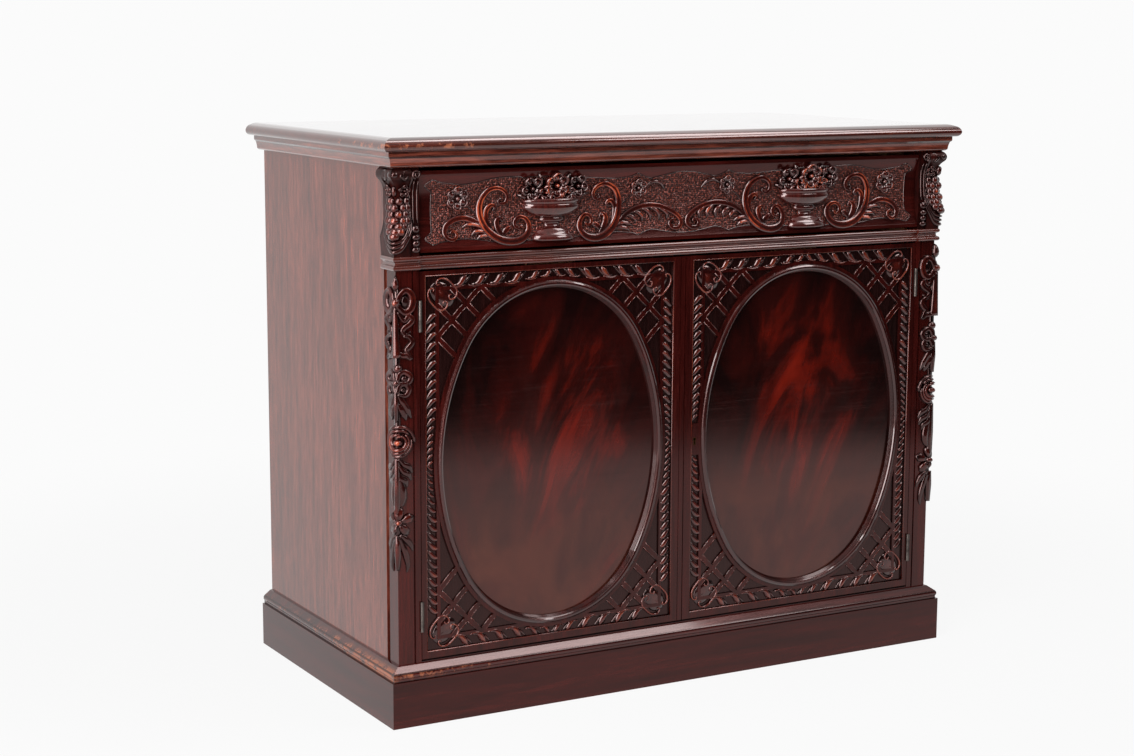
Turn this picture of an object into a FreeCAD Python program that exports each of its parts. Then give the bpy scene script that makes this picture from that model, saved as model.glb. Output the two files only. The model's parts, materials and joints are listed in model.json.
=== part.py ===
import FreeCAD, Part
import math
import os
import types

import Sketcher

# Mahogany chiffonier: one carved frieze drawer over two doors with oval panels.
# X runs to the right, Y to the back and Z up. The origin lies on the floor under the middle.
# Lengths are millimetres.

SIZES = {
    # Top and its moulded edge
    "total_height": 950,
    "top_width": 1133,
    "top_depth": 587,
    "top_thickness": 21.5,
    "top_overhang": 30.5,
    "back_overhang": 9.5,
    "top_edge_width": 25.5,
    "top_edge_drop": 13,
    "top_edge_under": 7,
    "top_edge_under_swell": 1.9,
    "top_edge_nose_swell": 2.05,
    "top_edge_break": 9,
    "top_edge_fall": 3,
    "top_edge_crown_swell": 0.95,
    # Cornice under the top
    "cornice_height": 25.5,
    "cornice_projection": 18.5,
    "cornice_fillet": 7.5,
    "cornice_foot": 9,
    "cornice_foot_swell": 0.4,
    "cornice_foot_rise": 3,
    "cornice_belly": 5.5,
    "cornice_belly_hollow": 0.47,
    "cornice_rake": 3,
    # Plinth and its moulding
    "plinth_height": 76,
    "plinth_projection": 19,
    "plinth_thickness": 28,
    "plinth_block": 60,
    "plinth_mould_height": 24,
    "plinth_mould_projection": 17.5,
    "plinth_mould_set": 2,
    "plinth_mould_lip": 5,
    "plinth_mould_swell": 2.1,
    "plinth_mould_shoulder": 3,
    "plinth_mould_bevel": 9,
    "plinth_mould_neck": 4,
    "plinth_mould_crown": 1,
    # Carcase
    "side_thickness": 20,
    "back_thickness": 10,
    "back_lap": 8,
    "back_board_width": 344,
    "board_thickness": 20,
    "floor_rise": 1,
    "post_width": 41,
    "post_depth": 32,
    "post_back": 11,
    "corner_rebate": 10,
    "quirk_place": 28,
    "quirk_width": 3,
    "quirk_depth": 3,
    # Frieze with the drawer, and the waist moulding between drawer and doors
    "frieze_height": 140,
    "waist_height": 22,
    "waist_projection": 6.5,
    "waist_setback": 4,
    "astragal_height": 7.6,
    "astragal_rise": 2.5,
    "waist_rail_depth": 63,
    "dust_board_thickness": 18,
    # Corbels
    "corbel_head": 9,
    "corbel_neck": 0.5,
    "corbel_belly": 6.5,
    "corbel_strip": 17,
    "corbel_strip_rise": 1.5,
    "corbel_lip": 3,
    "corbel_foot_set": 2,
    "corbel_head_swell": 5,
    "corbel_neck_hollow": 2,
    "corbel_belly_hollow": 3,
    "corbel_lip_share": 0.99,
    "corbel_head_share": 0.86,
    "corbel_neck_share": 0.735,
    "corbel_throat_share": 0.55,
    "corbel_belly_share": 0.215,
    # Festoons on the posts
    "festoon_rise": 7,
    "festoon_width": 26,
    "festoon_inset": 8,
    "festoon_length": 477,
    # Doors
    "door_thickness": 20,
    "door_gap": 1.2,
    "door_bottom_gap": 3,
    "door_top_gap": 3,
    "meeting_place": 4.2,
    "meeting_gap": 1.5,
    "bead_width": 8.5,
    "bead_quirk": 1,
    "field_inner": 20,
    "field_stile": 9.8,
    "field_rail_low": 12,
    "field_rail_high": 8,
    "field_depth": 4,
    # Oval moulding and panel
    "oval_side_margin": 32,
    "oval_end_margin": 31,
    "oval_end_share": 0.329,
    "ring_width": 12.5,
    "ring_land": 6,
    "ring_lip": 2,
    "ring_splay_width": 3,
    "ring_splay_drop": 0.5,
    "ring_step": 1,
    "ring_ridge_rise": 3.1,
    "panel_recess": 9,
    "panel_thickness": 6,
    "panel_seat": 8,
    # Trellis in the spandrels
    "trellis_width": 6.5,
    "trellis_rise": 3,
    "trellis_pitch": 26,
    "trellis_centre": 60,
    "trellis_reach": 75,
    "border_width": 24,
    "border_band": 6,
    # Hinges
    "hinge_length": 50,
    "hinge_inset_low": 72,
    "hinge_inset_high": 71,
    "hinge_leaf": 1.6,
    "hinge_leaf_depth": 19,
    "knuckle_radius": 3,
    "knuckle_forward": 2,
    "knuckle_clearance": 0.35,
    "pin_radius": 1.25,
    "pin_clearance": 0.05,
    # Lock and bolts
    "keyhole_place": 26,
    "keyhole_radius": 2.4,
    "keyhole_drop": 9,
    "keyhole_slot": 2.2,
    "escutcheon_wall": 1.2,
    "escutcheon_depth": 3,
    "lock_land": 55,
    "lock_width": 56,
    "lock_height": 44,
    "lock_depth": 13,
    "lock_inset": 3,
    "lock_wall": 1.5,
    "key_way_depth": 3,
    "lock_bolt_height": 10,
    "lock_bolt_thickness": 6,
    "lock_bolt_length": 30,
    "keep_width": 14,
    "keep_inset": 2,
    "keep_thickness": 2,
    "bolt_place": 40,
    "bolt_radius": 3,
    "bolt_length": 90,
    "bolt_throw": 12,
    "bolt_hole_room": 1,
    "bolt_plate_width": 20,
    "bolt_plate_thickness": 1.5,
    "bolt_strap_wall": 2.5,
    "bolt_strap_near": 0.15,
    "bolt_strap_far": 0.7,
    "slide_clearance": 0.3,
    # Shelf
    "shelf_height": 430,
    "shelf_thickness": 18,
    "shelf_setback": 60,
    "bearer_width": 16,
    "bearer_height": 22,
    "door_stop_place": 200,
    "door_stop_length": 90,
    "door_stop_thickness": 12,
    "door_stop_clearance": 0.4,
    # Drawer
    "drawer_gap": 1.3,
    "drawer_bottom_gap": 4.5,
    "drawer_top_gap": 6.5,
    "drawer_proud": 2,
    "drawer_front_thickness": 26,
    "drawer_fillet": 6,
    "drawer_fillet_step": 2,
    "drawer_hollow_depth": 10,
    "drawer_stop_length": 22.7,
    "drawer_side_thickness": 12,
    "drawer_side_drop": 15.2,
    "drawer_back_drop": 20.2,
    "drawer_bottom_thickness": 7,
    "drawer_bottom_rise": 12,
    "drawer_groove": 5,
    "guide_height": 26,
    "kicker_width": 44,
    "kicker_clearance": 1,
    # Urns on the drawer front
    "urn_place": 252,
    "urn_half_width": 51,
    "urn_dome_radius": 110,
    "urn_rise": 12,
    "urn_slab_room": 5,
}

doc = FreeCAD.newDocument("Chiffonier")
sheet = doc.addObject("Spreadsheet::Sheet", "Sizes")
for row, (alias, number) in enumerate(SIZES.items(), start=1):
    sheet.set(f"A{row}", alias)
    sheet.set(f"B{row}", str(number))
    sheet.setAlias(f"B{row}", alias)
doc.recompute()


class Dim:
    """A number together with the sheet expression that gives it."""

    def __init__(self, number, text):
        self.number = float(number)
        self.text = text

    def __add__(self, other):
        other = as_dim(other)
        return Dim(self.number + other.number, f"({self.text} + {other.text})")

    def __sub__(self, other):
        other = as_dim(other)
        return Dim(self.number - other.number, f"({self.text} - {other.text})")

    def __mul__(self, other):
        other = as_dim(other)
        return Dim(self.number * other.number, f"({self.text} * {other.text})")

    def __truediv__(self, other):
        other = as_dim(other)
        return Dim(self.number / other.number, f"({self.text} / {other.text})")

    def __neg__(self):
        return Dim(-self.number, f"(-1 * {self.text})")

    def __rsub__(self, other):
        return as_dim(other) - self

    __radd__ = __add__
    __rmul__ = __mul__


def as_dim(value):
    return value if isinstance(value, Dim) else Dim(value, repr(float(value)))


S = types.SimpleNamespace(**{alias: Dim(sheet.get(alias), f"Sizes.{alias}") for alias in SIZES})


# Helpers that bind an object's sizes to the sheet

def bind(thing, name, value):
    thing.setExpression(name, as_dim(value).text)


def box(name, x, y, z):
    """A block between a low and a high place on each axis."""
    solid = doc.addObject("Part::Box", name)
    for axis, side, (low, high) in (("x", "Length", x), ("y", "Width", y), ("z", "Height", z)):
        bind(solid, side, as_dim(high) - low)
        bind(solid, f"Placement.Base.{axis}", low)
    return solid


def cylinder(name, x, y, z, radius):
    """An upright cylinder between two heights."""
    solid = doc.addObject("Part::Cylinder", name)
    low, high = z
    bind(solid, "Radius", radius)
    bind(solid, "Height", as_dim(high) - low)
    bind(solid, "Placement.Base.x", x)
    bind(solid, "Placement.Base.y", y)
    bind(solid, "Placement.Base.z", low)
    return solid


def bore(name, x, y, z, radius):
    """A cylinder along Y between two depths."""
    solid = doc.addObject("Part::Cylinder", name)
    low, high = y
    bind(solid, "Radius", radius)
    bind(solid, "Height", as_dim(high) - low)
    solid.Placement.Rotation = FreeCAD.Rotation(FreeCAD.Vector(1, 0, 0), -90)
    bind(solid, "Placement.Base.x", x)
    bind(solid, "Placement.Base.y", low)
    bind(solid, "Placement.Base.z", z)
    return solid


def cut(name, base, *tools):
    for index, tool in enumerate(tools):
        label = name if index == len(tools) - 1 else f"{name}_cut{index}"
        result = doc.addObject("Part::Cut", label)
        result.Base = base
        result.Tool = tool
        base = result
    return base


def common(name, first, second):
    result = doc.addObject("Part::Common", name)
    result.Base = first
    result.Tool = second
    return result


def fuse(name, *solids):
    result = doc.addObject("Part::MultiFuse", name)
    result.Shapes = list(solids)
    result.Refine = True
    return result


def group(name, *solids):
    result = doc.addObject("Part::Compound", name)
    result.Links = list(solids)
    return result


def mirror(name, source, normal=(1, 0, 0), x=0, y=0, z=0):
    result = doc.addObject("Part::Mirroring", name)
    result.Source = source
    result.Normal = FreeCAD.Vector(*normal)
    for axis, place in (("x", x), ("y", y), ("z", z)):
        bind(result, f"Base.{axis}", place)
    return result


PLANE_ROLES = {"X": "YZ_Plane", "Y": "XZ_Plane", "Z": "XY_Plane"}


def arc_between(start, end, radius):
    """The arc of under a half circle from start to end; a positive radius turns left."""
    chord = end - start
    side = FreeCAD.Vector(-chord.y, chord.x, 0).normalize() * math.copysign(1, radius)
    reach = math.sqrt(radius * radius - chord.Length ** 2 / 4)
    centre = start + chord / 2 + side * reach
    first, last = (start, end) if radius > 0 else (end, start)
    angles = [math.atan2(p.y - centre.y, p.x - centre.x) for p in (first, last)]
    circle = Part.Circle(centre, FreeCAD.Vector(0, 0, 1), abs(radius))
    return Part.ArcOfCircle(circle, *angles)


def place_point(sketch, edge, end, corner):
    """Fixes one end of an edge at the sheet's coordinates."""
    for kind, axis, value in (("DistanceX", -2, corner[0]), ("DistanceY", -1, corner[1])):
        value = as_dim(value)
        if abs(value.number) < 1e-9:
            sketch.addConstraint(Sketcher.Constraint("PointOnObject", edge, end, axis))
        else:
            index = sketch.addConstraint(Sketcher.Constraint(kind, edge, end, value.number))
            bind(sketch, f"Constraints[{index}]", value)


def draw(sketch, corners):
    """Draws a closed outline. A corner's third value is the radius of the arc to the next one."""
    points = [FreeCAD.Vector(as_dim(c[0]).number, as_dim(c[1]).number, 0) for c in corners]
    ends = []
    for index, corner in enumerate(corners):
        start, end = points[index], points[(index + 1) % len(points)]
        if len(corner) == 3:
            radius = as_dim(corner[2])
            sketch.addGeometry(arc_between(start, end, radius.number), False)
            ends.append((1, 2) if radius.number > 0 else (2, 1))
        else:
            sketch.addGeometry(Part.LineSegment(start, end), False)
            ends.append((1, 2))
    for index, corner in enumerate(corners):
        following = (index + 1) % len(corners)
        join = Sketcher.Constraint("Coincident", index, ends[index][1], following, ends[following][0])
        sketch.addConstraint(join)
    for index, corner in enumerate(corners):
        place_point(sketch, index, ends[index][0], corner)
        if len(corner) == 3:
            radius = as_dim(corner[2])
            size = radius if radius.number > 0 else -radius
            number = sketch.addConstraint(Sketcher.Constraint("Radius", index, size.number))
            bind(sketch, f"Constraints[{number}]", size)


def sketch_in(body, name, axis, place, corners):
    sketch = body.newObject("Sketcher::SketchObject", name)
    plane = [part for part in body.Origin.OriginFeatures if part.Role == PLANE_ROLES[axis]][0]
    sketch.AttachmentSupport = [(plane, "")]
    sketch.MapMode = "FlatFace"
    bind(sketch, "AttachmentOffset.Base.z", place)
    draw(sketch, corners)
    return sketch


def pad(name, axis, span, corners):
    """A body whose outline lies across the axis and is padded between two places along it."""
    low, high = span
    body = doc.addObject("PartDesign::Body", name)
    place = -as_dim(high) if axis == "Y" else low
    sketch = sketch_in(body, name + "_outline", axis, place, corners)
    feature = body.newObject("PartDesign::Pad", name + "_pad")
    feature.Profile = sketch
    bind(feature, "Length", as_dim(high) - low)
    body.Tip = feature
    return body


def arc_radius(chord, rise):
    """Radius of the arc that stands a given height over its chord."""
    return (chord * chord / 4 + rise * rise) / (2 * rise)


def span_radius(start, end, rise):
    """Radius of the arc from one corner to another that stands a given height over its chord."""
    across = as_dim(end[0]) - start[0]
    along = as_dim(end[1]) - start[1]
    return ((across * across + along * along) / 4 + rise * rise) / (2 * rise)


def bowed(corners):
    """Turns each corner's third value, the rise of an arc to the next one, into its radius."""
    made = []
    for index, corner in enumerate(corners):
        if len(corner) == 3:
            rise = as_dim(corner[2])
            radius = span_radius(corner, corners[(index + 1) % len(corners)], rise)
            corner = (corner[0], corner[1], radius)
        made.append(corner)
    return made


def rectangle(u, v):
    return [(u[0], v[0]), (u[1], v[0]), (u[1], v[1]), (u[0], v[1])]


# Places that several pieces share

case_half = S.top_width / 2 - S.top_overhang
case_front = S.top_overhang - S.top_depth / 2
case_back = S.top_depth / 2 - S.back_overhang
top_under = S.total_height - S.top_thickness
cornice_under = top_under - S.cornice_height
plinth_top = S.plinth_height
mould_top = S.plinth_height + S.plinth_mould_height
waist_top = cornice_under - S.frieze_height
waist_bottom = waist_top - S.waist_height
post_inner = case_half - S.post_width
post_end = case_front + S.post_depth
side_front = post_end + S.post_back
side_inner = case_half - S.side_thickness
back_face = case_back - S.back_thickness
door_back = case_front + S.door_thickness
bottom_top = mould_top + S.floor_rise
bottom_under = bottom_top - S.board_thickness
drawer_low = waist_top + S.drawer_bottom_gap
drawer_high = cornice_under - S.drawer_top_gap
door_low = bottom_top + S.door_bottom_gap
door_high = waist_bottom - S.door_top_gap
keyhole_height = (door_low + door_high) / 2

nodes = {}


def keep(node, solid):
    """Names a finished sub-part, which becomes one file."""
    solid.Label = node
    nodes[node] = solid
    return solid


def keep_pair(name, right):
    """Keeps a right-hand piece and its mirror image on the left."""
    keep(f"{name}_right", right)
    keep(f"{name}_left", mirror(f"{name}_left", right))


# Mitred mouldings round the front and both sides

MITRE_OUT = 60
MITRE_IN = 40
CUT_ROOM = 1


def mitre_prism(name, corners):
    return pad(name, "Z", (0, S.total_height), corners)


front_mitre = mitre_prism("front_mitre", [
    (-(case_half + MITRE_OUT), case_front - MITRE_OUT),
    (case_half + MITRE_OUT, case_front - MITRE_OUT),
    (case_half - MITRE_IN, case_front + MITRE_IN),
    (-(case_half - MITRE_IN), case_front + MITRE_IN),
])
side_mitre = mitre_prism("side_mitre", [
    (case_half + MITRE_OUT, case_front - MITRE_OUT),
    (case_half + MITRE_OUT, S.top_depth / 2),
    (case_half - MITRE_IN, S.top_depth / 2),
    (case_half - MITRE_IN, case_front + MITRE_IN),
])


def mitred(name, profile, back_end):
    """Runs a moulding along the front and sides. The profile holds (projection, height) corners."""
    front_corners = [(case_front - c[0], c[1], -as_dim(c[2])) if len(c) == 3
                     else (case_front - c[0], c[1]) for c in profile]
    side_corners = [(case_half + c[0], *c[1:]) for c in profile]
    half_run = case_half + MITRE_OUT
    front_run = pad(f"{name}_front_run", "X", (-half_run, half_run), front_corners)
    side_run = pad(f"{name}_side_run", "Y", (case_front - MITRE_OUT, back_end), side_corners)
    keep(f"{name}_front", common(f"{name}_front", front_run, front_mitre))
    keep_pair(name, common(f"{name}_right", side_run, side_mitre))


def make_plinth():
    outer = case_half + S.plinth_projection
    front = case_front - S.plinth_projection
    thick = S.plinth_thickness
    span = (0, plinth_top)
    keep("plinth_front", pad("plinth_front", "Z", span, [
        (-outer, front), (outer, front), (outer - thick, front + thick), (thick - outer, front + thick)]))
    keep_pair("plinth", pad("plinth_right", "Z", span, [
        (outer, front), (outer, case_back), (outer - thick, case_back), (outer - thick, front + thick)]))
    inner = outer - thick
    keep("plinth_back", box("plinth_back", (-inner, inner), (case_back - thick, case_back), span))
    blocks = []
    for index, (side, low) in enumerate([(1, True), (1, False), (-1, True), (-1, False)]):
        corner_y = front + thick if low else case_back - thick
        reach = S.plinth_block if low else -S.plinth_block
        blocks.append(pad(f"plinth_block{index}", "Z", span, [
            (side * inner, corner_y), (side * (inner - S.plinth_block), corner_y),
            (side * inner, corner_y + reach)]))
    keep("plinth_corner_blocks", group("plinth_corner_blocks", *blocks))
    nose = S.plinth_mould_projection
    mitred("plinth_moulding", bowed([
        (0, plinth_top),
        (nose - S.plinth_mould_set, plinth_top),
        (nose - S.plinth_mould_set, plinth_top + S.plinth_mould_lip, S.plinth_mould_swell),
        (nose - S.plinth_mould_shoulder, mould_top - S.plinth_mould_bevel),
        (S.plinth_mould_neck, mould_top - S.plinth_mould_crown),
        (0, mould_top),
    ]), case_back)


def make_top():
    inner = S.top_overhang - S.top_edge_width
    nose_height = S.total_height - S.top_edge_drop
    keep("top_board", box("top_board", (-(case_half + inner), case_half + inner),
                          (case_front - inner, S.top_depth / 2), (top_under, S.total_height)))
    mitred("top_edge", bowed([
        (inner, top_under),
        (S.top_overhang - S.top_edge_under, top_under, S.top_edge_under_swell),
        (S.top_overhang, nose_height, S.top_edge_nose_swell),
        (S.top_overhang - S.top_edge_break, S.total_height - S.top_edge_fall, S.top_edge_crown_swell),
        (inner, S.total_height),
    ]), S.top_depth / 2)
    out = S.cornice_projection
    fillet_low = top_under - S.cornice_fillet
    mitred("cornice", bowed([
        (0, cornice_under),
        (out - S.cornice_foot, cornice_under, S.cornice_foot_swell),
        (out - S.cornice_belly, cornice_under + S.cornice_foot_rise, -S.cornice_belly_hollow),
        (out - S.cornice_rake, fillet_low - S.cornice_rake),
        (out, fillet_low),
        (out, top_under),
        (0, top_under),
    ]), case_back)


def post_plan():
    """Plan of a right-hand post with its quirk bead and the rebate behind its outer corner."""
    quirk = case_half - S.quirk_place
    rebate = case_half - S.corner_rebate
    return [
        (post_inner, case_front),
        (quirk - S.quirk_width, case_front),
        (quirk - S.quirk_width, case_front + S.quirk_depth),
        (quirk, case_front + S.quirk_depth),
        (quirk, case_front),
        (case_half, case_front),
        (case_half, post_end),
        (rebate, post_end),
        (rebate, side_front),
        (post_inner, side_front),
    ]


# Hinges: a fixed leaf in the post, a moving leaf in the door and a pin

axis_x = post_inner - S.door_gap / 2
axis_y = case_front - S.knuckle_forward
HINGES = {"low": door_low + S.hinge_inset_low, "high": door_high - S.hinge_inset_high}


def hinge_span(height):
    return height - S.hinge_length / 2, height + S.hinge_length / 2


def leaf_block(name, on_post, height):
    """The flat leaf, let into the post's or the door's edge up to its knuckle."""
    edge = post_inner if on_post else post_inner - S.door_gap
    x = (edge, edge + S.hinge_leaf) if on_post else (edge - S.hinge_leaf, edge)
    return box(name, x, (axis_y, case_front + S.hinge_leaf_depth), hinge_span(height))


def knuckle_relief(name, height):
    return cylinder(name, axis_x, axis_y, hinge_span(height), S.knuckle_radius + S.knuckle_clearance)


def hinge_leaf(name, on_post, height):
    """A leaf with its knuckles: two at the ends on the post, one between them on the door."""
    low, high = hinge_span(height)
    third = S.hinge_length / 3
    gap = S.slide_clearance
    if on_post:
        spans = [(low, low + third), (high - third, high)]
        clear = [(low + third, high - third)]
    else:
        spans = [(low + third + gap, high - third - gap)]
        clear = [(low, low + third + gap), (high - third - gap, high)]
    knuckles = [cylinder(f"{name}_knuckle{i}", axis_x, axis_y, span, S.knuckle_radius)
                for i, span in enumerate(spans)]
    relief = [cylinder(f"{name}_relief{i}", axis_x, axis_y, span, S.knuckle_radius + S.knuckle_clearance)
              for i, span in enumerate(clear)]
    blank = fuse(f"{name}_blank", leaf_block(f"{name}_plate", on_post, height), *knuckles)
    hole = cylinder(f"{name}_hole", axis_x, axis_y, (low, high), S.pin_radius + S.pin_clearance)
    return cut(name, blank, *relief, hole)


def make_hinges():
    for owner, on_post in (("post", True), ("door", False)):
        right = [hinge_leaf(f"{owner}_leaf_{place}", on_post, height) for place, height in HINGES.items()]
        left = [mirror(f"{leaf.Name}_mirror", leaf) for leaf in right]
        if on_post:
            keep("hinge_post_leaves", group("hinge_post_leaves", *right, *left))
        else:
            keep("hinge_door_leaves_right", group("hinge_door_leaves_right", *right))
            keep("hinge_door_leaves_left", group("hinge_door_leaves_left", *left))
    pins = [cylinder(f"pin_{place}", axis_x, axis_y, hinge_span(height), S.pin_radius)
            for place, height in HINGES.items()]
    keep("hinge_pins", group("hinge_pins", *pins, *[mirror(f"{pin.Name}_mirror", pin) for pin in pins]))


def make_posts():
    blank = pad("post_blank", "Z", (plinth_top, top_under), post_plan())
    far = case_half + MITRE_OUT
    frieze = (waist_top, cornice_under)
    rebate_front = case_front + S.corner_rebate
    start = case_front - CUT_ROOM
    corbel_front = box("corbel_seat_front", (post_inner - CUT_ROOM, far), (start, rebate_front), frieze)
    corbel_side = box("corbel_seat_side", (case_half - S.corner_rebate, far), (start, side_front), frieze)
    recesses = []
    for place, height in HINGES.items():
        recesses.append(leaf_block(f"post_recess_{place}", True, height))
        recesses.append(knuckle_relief(f"post_relief_{place}", height))
    keep_pair("corner_post", cut("corner_post_right", blank, corbel_front, corbel_side, *recesses))


def bolt_mortise(name, height):
    """The square hole that a door bolt shoots into."""
    half = S.bolt_radius + S.bolt_hole_room
    return box(name, (-S.bolt_place - half, half - S.bolt_place), (bolt_y - half, bolt_y + half), height)


def make_case():
    keep_pair("side_panel", box("side_panel_right", (side_inner, case_half), (side_front, case_back),
                                (plinth_top, top_under)))
    floor = box("bottom_blank", (-side_inner, side_inner), (case_front, back_face),
                (bottom_under, bottom_top))
    notches = [box(f"bottom_notch{i}", x, (case_front, side_front), (0, bottom_top))
               for i, x in enumerate([(post_inner, side_inner), (-side_inner, -post_inner)])]
    hole = bolt_mortise("bottom_bolt_mortise", (bottom_under, bottom_top))
    keep("bottom_board", cut("bottom_board", floor, *notches, hole))
    make_back()
    shelf_low = S.shelf_height - S.shelf_thickness
    keep("shelf", box("shelf", (-side_inner, side_inner), (case_front + S.shelf_setback, back_face),
                      (shelf_low, S.shelf_height)))
    bearer = box("bearer_right", (side_inner - S.bearer_width, side_inner),
                 (case_front + S.shelf_setback, back_face), (shelf_low - S.bearer_height, shelf_low))
    keep("shelf_bearers", group("shelf_bearers", bearer, mirror("bearer_left", bearer)))
    keep("top_rail", box("top_rail", (-post_inner, post_inner),
                         (case_front, case_front + S.waist_rail_depth), (cornice_under, top_under)))


def make_back():
    """Upright boards across the back, each lapped over the next."""
    count = max(1, round(2 * side_inner.number / S.back_board_width.number))
    width = 2 * side_inner / count
    middle = case_back - S.back_thickness / 2
    height = (bottom_under, top_under)
    boards = []
    for index in range(count):
        low = index * width - side_inner
        high = low + width
        start = low + S.back_lap if index else low
        lapped = high + S.back_lap if index < count - 1 else high
        inner = box(f"back_inner{index}", (start, lapped), (back_face, middle), height)
        outer = box(f"back_outer{index}", (low, high), (middle, case_back), height)
        boards.append(fuse(f"back_board{index}", inner, outer))
    keep("back_boards", group("back_boards", *boards))


def waist_profile(spring, depth):
    """Two astragals with a hollow between them, as (depth, height) corners."""
    low = waist_bottom
    astragal = S.astragal_height
    hollow = S.waist_height - 2 * astragal
    bulge = arc_radius(astragal, S.astragal_rise)
    dip = arc_radius(hollow, S.astragal_rise)
    return [
        (depth, low),
        (depth, waist_top),
        (spring, waist_top, bulge),
        (spring, waist_top - astragal, -dip),
        (spring, low + astragal, bulge),
        (spring, low),
    ]


def to_side(corners):
    """Turns a front profile's corners into those of the right-hand return."""
    turned = []
    for depth, height, *radius in corners:
        turned.append((case_half + case_front - depth, height, *[-as_dim(r) for r in radius]))
    return turned


def make_waist():
    spring = case_front - S.waist_projection + S.astragal_rise
    rail_back = case_front + S.waist_rail_depth
    rail = pad("waist_rail_run", "X", (-post_inner, post_inner),
               waist_profile(spring + S.waist_setback, rail_back))
    hole = bolt_mortise("waist_bolt_mortise",
                        (waist_bottom, waist_bottom + S.bolt_throw + S.bolt_hole_room))
    keep("waist_rail", cut("waist_rail", rail, hole))
    front = pad("waist_block_front", "X", (post_inner, case_half + MITRE_OUT),
                waist_profile(spring, side_front))
    side = pad("waist_block_side", "Y", (case_front - MITRE_OUT, side_front),
               to_side(waist_profile(spring, case_front + S.post_width)))
    core = box("waist_block_core", (post_inner, case_half), (case_front, side_front),
               (waist_bottom, waist_top))
    keep_pair("waist_block", cut("waist_block_right", common("waist_block_mitre", front, side), core))
    keep("dust_board", box("dust_board", (-side_inner, side_inner), (rail_back, back_face),
                           (waist_top - S.dust_board_thickness, waist_top)))
    stop_y = door_back + S.door_stop_clearance
    stop = box("door_stop_right", (S.door_stop_place, S.door_stop_place + S.door_stop_length),
               (stop_y, stop_y + S.door_stop_thickness),
               (waist_bottom - S.door_stop_thickness, waist_bottom))
    keep("door_stops", group("door_stops", stop, mirror("door_stop_left", stop)))


def corbel_profile(depth):
    """Swelling belly, hollow neck and scrolled head, as (depth, height) corners."""
    tall = cornice_under - waist_top

    def at(rise, share):
        return case_front - rise, waist_top + share * tall
    return bowed([
        (depth, waist_top),
        (depth, cornice_under),
        at(S.corbel_head - S.corbel_lip, 1),
        (*at(S.corbel_head - S.corbel_lip, S.corbel_lip_share), S.corbel_head_swell),
        (*at(S.corbel_head, S.corbel_head_share), -S.corbel_neck_hollow),
        at(S.corbel_neck, S.corbel_neck_share),
        (*at(S.corbel_neck, S.corbel_throat_share), -S.corbel_belly_hollow),
        at(S.corbel_belly, S.corbel_belly_share),
        at(S.corbel_belly - S.corbel_foot_set, 0),
    ])


def make_corbels():
    inner = post_inner + S.corbel_strip
    front = pad("corbel_front", "X", (inner, case_half + MITRE_OUT), corbel_profile(side_front))
    side = pad("corbel_side", "Y", (case_front - MITRE_OUT, side_front),
               to_side(corbel_profile(case_front + S.post_width - S.corbel_strip)))
    rebate = S.corner_rebate
    core = box("corbel_core", (inner, case_half - rebate), (case_front + rebate, side_front),
               (waist_top, cornice_under))
    console = cut("corbel_console", common("corbel_mitre", front, side), core)
    strip = box("corbel_strip_block", (post_inner, inner),
                (case_front - S.corbel_strip_rise, case_front + rebate), (waist_top, cornice_under))
    keep_pair("corbel", fuse("corbel_right", console, strip))


# Each motif of a festoon: reach from the corner, upper and lower place, and swell, all as shares
FESTOON_MOTIFS = {
    "bud": (0.1, 1.0, 0.957, 0.154),
    "bow": (0.4, 0.954, 0.876, 0.46),
    "upper_tail": (0.7, 0.872, 0.836, 0.23),
    "lower_tail": (0.6, 0.82, 0.725, 0.27),
    "small_bow": (0.4, 0.69, 0.64, 0.346),
    "small_loop": (0.5, 0.636, 0.6, 0.19),
    "leaf": (0.4, 0.585, 0.52, 0.23),
    "rose": (0.4, 0.507, 0.386, 0.577),
    "ribbon": (0.5, 0.38, 0.312, 0.23),
    "drape": (0.45, 0.3, 0.225, 0.077),
    "flower": (0.4, 0.222, 0.113, 0.54),
    "drop": (0.15, 0.108, 0.0, 0.346),
}


def make_festoons():
    """Ribbon, bows, rose and drop in outline, wrapped half on the front and half on the side."""
    tall = S.festoon_length
    high_end = waist_bottom - S.festoon_inset
    low_end = high_end - tall
    edge = case_half + S.festoon_rise
    outline = [(edge, low_end), (edge, high_end)]
    for reach, high, low, swell in FESTOON_MOTIFS.values():
        x = case_half - reach * S.festoon_width
        radius = arc_radius((high - low) * tall, swell * S.festoon_width)
        outline.append((x, low_end + high * tall, radius))
        outline.append((x, low_end + low * tall))
    front = pad("festoon_front", "Y", (case_front - S.festoon_rise, case_front), outline)
    side = mirror("festoon_side", front, (1, 1, 0), case_half, case_front)
    keep_pair("festoon", fuse("festoon_right", front, side))


# Doors

field_outer = post_inner - S.door_gap - S.field_stile
field_bottom = door_low + S.field_rail_low
field_top = door_high - S.field_rail_high
oval_height = (field_bottom + field_top) / 2
oval_place = (S.field_inner + field_outer) / 2
oval_half_width = (field_outer - S.field_inner) / 2 - S.oval_side_margin
oval_half_height = (field_top - field_bottom) / 2 - S.oval_end_margin
oval_end_radius = oval_half_width - S.oval_end_share * (oval_half_height - oval_half_width)
bolt_y = door_back + S.bolt_plate_thickness + S.bolt_strap_wall + S.bolt_radius


def oval_centres():
    """Radius of the side arcs, and how far the side and end centres lie from the middle."""
    half_w, half_h, end_r = oval_half_width, oval_half_height, oval_end_radius
    side_r = (half_w * half_w + half_h * half_h - 2 * half_h * end_r) / (2 * (half_w - end_r))
    return side_r, side_r - half_w, half_h - end_r


def oval_joint(offset):
    """The place where a side arc meets an end arc, measured from the oval's middle."""
    side_r, side_centre, end_centre = oval_centres()
    share = (oval_end_radius + offset) / (side_r - oval_end_radius)
    return side_centre * share, end_centre * (share + 1)


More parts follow.
